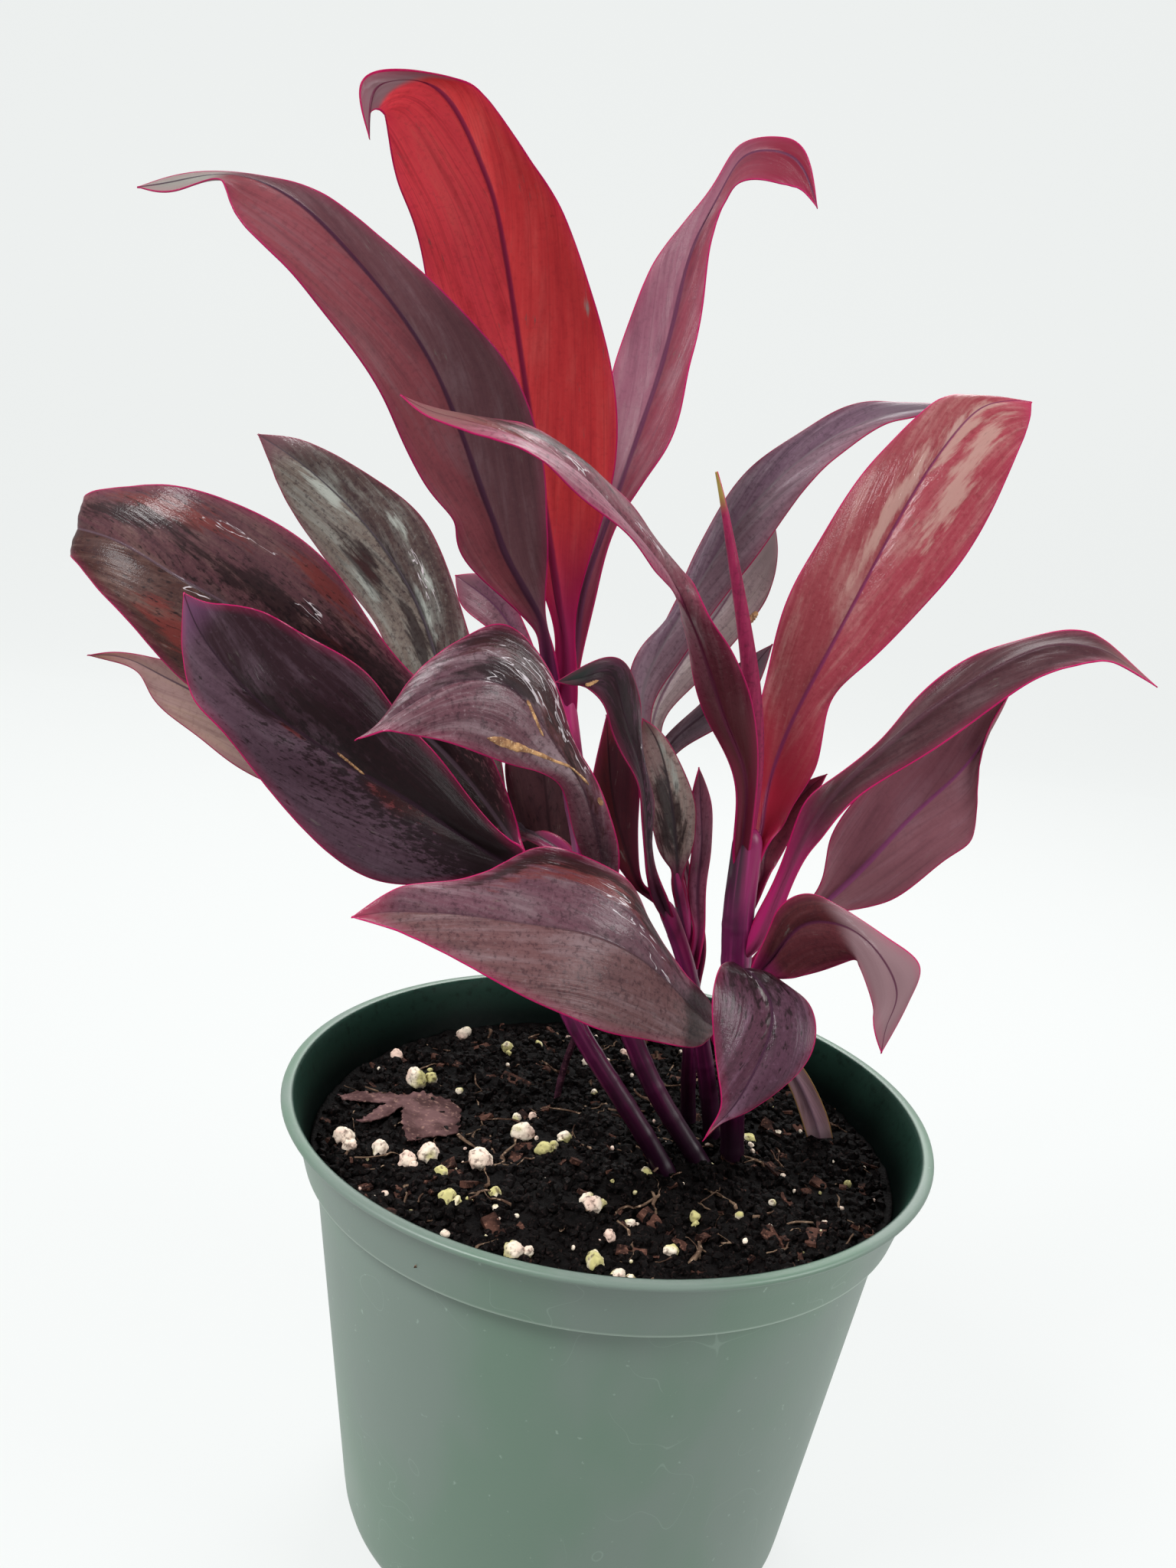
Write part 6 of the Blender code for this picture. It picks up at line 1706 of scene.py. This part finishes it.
class PLANT_OT_leaves(bpy.types.Operator):
    """Grow every leaf, the rolled new one among them"""

    bl_idname = "ti_plant.leaves"
    bl_label = "Leaves"

    def execute(self, context):
        sizes = context.scene.ti_plant.leaf
        slots = {s["node"]: s["material_slot"] for s in frame["record"]["subparts"]}
        cork = loose_matter(
            "corky scar", linear("#7E5A44"), linear("#C79A6C"), linear("#E6C79A"), 2.4, 0.1, 0.5
        )
        for name, stations in LEAVES.items():
            look = {**LEAF_DEFAULT, **LEAF_LOOKS[name]}
            finish = leaf_skin(name, look, sizes)
            blade, front, at = leaf_blade(name + "_blade", stations, look, sizes, finish)
            dress(blade, slots[name], name)
            for leaf, label, track in SCARS:
                if leaf == name:
                    dress(scar(label, track, front, at, cork), "dry_leaf")
        name = "leaf_new_spike"
        look = {**LEAF_DEFAULT, **NEW_LEAF_LOOK}
        dress(rolled_leaf(name, look, sizes), slots[name], name)
        return {"FINISHED"}


class PLANT_OT_litter(bpy.types.Operator):
    """Lay the dry leaf fragment on the mix"""

    bl_idname = "ti_plant.litter"
    bl_label = "Fallen fragment"

    def execute(self, context):
        finish = loose_matter(
            "dry leaf", linear("#3E2A2A"), linear("#624848"), linear("#86685F"), 6.0, 0.25, 0.8
        )
        piece = new_piece("dry_fragment", [(x, y, FRAGMENT_BASE) for x, y in FRAGMENT],
                          [tuple(range(len(FRAGMENT)))], finish)
        ragged_sheet(piece.data)
        wall = piece.modifiers.new("Wall", "SOLIDIFY")
        wall.thickness = FRAGMENT_WALL * MM
        wall.offset = 1.0
        plain(piece)
        dress(piece, "dry_leaf", "fallen_fragment")
        return {"FINISHED"}


def ragged_sheet(mesh):
    """Cut a flat outline into fine faces, tear its edge and curl it up from the mix."""
    bm = bmesh.new()
    bm.from_mesh(mesh)
    bmesh.ops.triangulate(bm, faces=bm.faces, ngon_method="EAR_CLIP")
    for _ in range(4):
        bmesh.ops.subdivide_edges(bm, edges=bm.edges, cuts=1, use_grid_fill=True)
    bm.normal_update()
    if sum(face.normal.z for face in bm.faces) < 0:
        bmesh.ops.reverse_faces(bm, faces=bm.faces)
    for vert in bm.verts:
        x, y = vert.co.x / MM, vert.co.y / MM
        place = Vector((x, y, 0.0))
        lift = 1.0 * math.sin((x + 71) / 34 * math.pi) ** 2 + 0.6 * math.sin((y + 14) / 9) ** 2
        lift += 0.9 * noise.noise(place * 0.22) + 0.3 * noise.noise(place * 0.7)
        if vert.is_boundary:
            vert.co.x += 0.9 * MM * noise.noise(place * 0.8)
            vert.co.y += 0.9 * MM * noise.noise(place * 0.8 + Vector((9, 9, 9)))
            lift += 0.3
        vert.co.z += max(0.1, lift) * MM
    bm.to_mesh(mesh)
    bm.free()
    mesh.shade_smooth()


class PLANT_OT_stage(bpy.types.Operator):
    """Set up the paper sweep, the soft lights and the camera"""

    bl_idname = "ti_plant.stage"
    bl_label = "Studio"

    def execute(self, context):
        sizes = context.scene.ti_plant.stage
        scene = context.scene
        outline = [(-SWEEP_REACH, 0.0), (SWEEP_DEPTH, 0.0)]
        for turn in np.linspace(0, math.pi / 2, 16):
            bent = (SWEEP_DEPTH + SWEEP_BEND * math.sin(turn), SWEEP_BEND * (1 - math.cos(turn)))
            outline.append(bent)
        outline.append((SWEEP_DEPTH + SWEEP_BEND, SWEEP_REACH))
        points, faces = [], []
        for y, z in outline:
            points += [(side / MM, y / MM, z / MM) for side in (-SWEEP_REACH, SWEEP_REACH)]
        for i in range(len(outline) - 1):
            faces.append((2 * i, 2 * i + 1, 2 * i + 3, 2 * i + 2))
        paper = new_piece("paper_sweep", points, faces, seamless_paper(sizes))
        for name, place, target, size, power in SOFTBOXES:
            add_softbox(name, place, target, size, getattr(sizes, power))
        world = bpy.data.worlds.new("even white light")
        world.use_nodes = True
        world.node_tree.nodes["Background"].inputs[0].default_value = (1, 1, 1, 1)
        world.node_tree.nodes["Background"].inputs[1].default_value = sizes.sky
        scene.world = world
        scene.view_settings.view_transform = "Standard"
        lens = bpy.data.cameras.new("photo_camera")
        lens.lens = CAMERA_LENS
        lens.sensor_width = 36.0
        camera = bpy.data.objects.new("photo_camera", lens)
        scene.collection.objects.link(camera)
        pitch, roll = math.radians(CAMERA_PITCH), math.radians(CAMERA_ROLL)
        view = Vector((0, math.cos(pitch), -math.sin(pitch)))
        level = Vector((1, 0, 0))
        above = level.cross(view)
        right = math.cos(roll) * level + math.sin(roll) * above
        up = -math.sin(roll) * level + math.cos(roll) * above
        turned = Matrix((right, up, -view)).transposed()
        camera.matrix_world = Matrix.Translation(Vector(CAMERA_PLACE) * MM) @ turned.to_4x4()
        scene.camera = camera
        return {"FINISHED"}


def add_softbox(name, place, target, size, power):
    """Add a square area light that faces a target."""
    light = bpy.data.lights.new(name, "AREA")
    light.shape = "SQUARE"
    light.size = size
    light.energy = power
    obj = bpy.data.objects.new(name, light)
    obj.location = place
    obj.rotation_euler = (Vector(target) - Vector(place)).to_track_quat("-Z", "Y").to_euler()
    bpy.context.scene.collection.objects.link(obj)


PIECES = (
    PLANT_OT_pot, PLANT_OT_mix, PLANT_OT_strewn, PLANT_OT_perlite, PLANT_OT_canes, PLANT_OT_leaves,
    PLANT_OT_litter, PLANT_OT_stage,
)
SETTINGS = (PotSettings, MixSettings, CaneSettings, LeafSettings, StageSettings, PlantSettings)


class PLANT_PT_panel(bpy.types.Panel):
    """Sidebar panel that lists the pieces and their settings"""

    bl_idname = "PLANT_PT_panel"
    bl_label = "Ti Plant"
    bl_space_type = "VIEW_3D"
    bl_region_type = "UI"
    bl_category = "Ti Plant"

    def draw(self, context):
        settings = context.scene.ti_plant
        for operator in PIECES:
            self.layout.operator(operator.bl_idname)
        for group in ("pot", "mix", "cane", "leaf", "stage"):
            box = self.layout.box()
            box.label(text=group.title())
            part = getattr(settings, group)
            for field in type(part).__annotations__:
                box.prop(part, field)


def register():
    for kind in (*SETTINGS, *PIECES, PLANT_PT_panel):
        bpy.utils.register_class(kind)
    bpy.types.Scene.ti_plant = PointerProperty(type=PlantSettings)


def unregister():
    del bpy.types.Scene.ti_plant
    for kind in reversed((*SETTINGS, *PIECES, PLANT_PT_panel)):
        bpy.utils.unregister_class(kind)


def main():
    register()
    for operator in PIECES:
        group, name = operator.bl_idname.split(".")
        getattr(getattr(bpy.ops, group), name)()


if __name__ == "__main__":
    main()
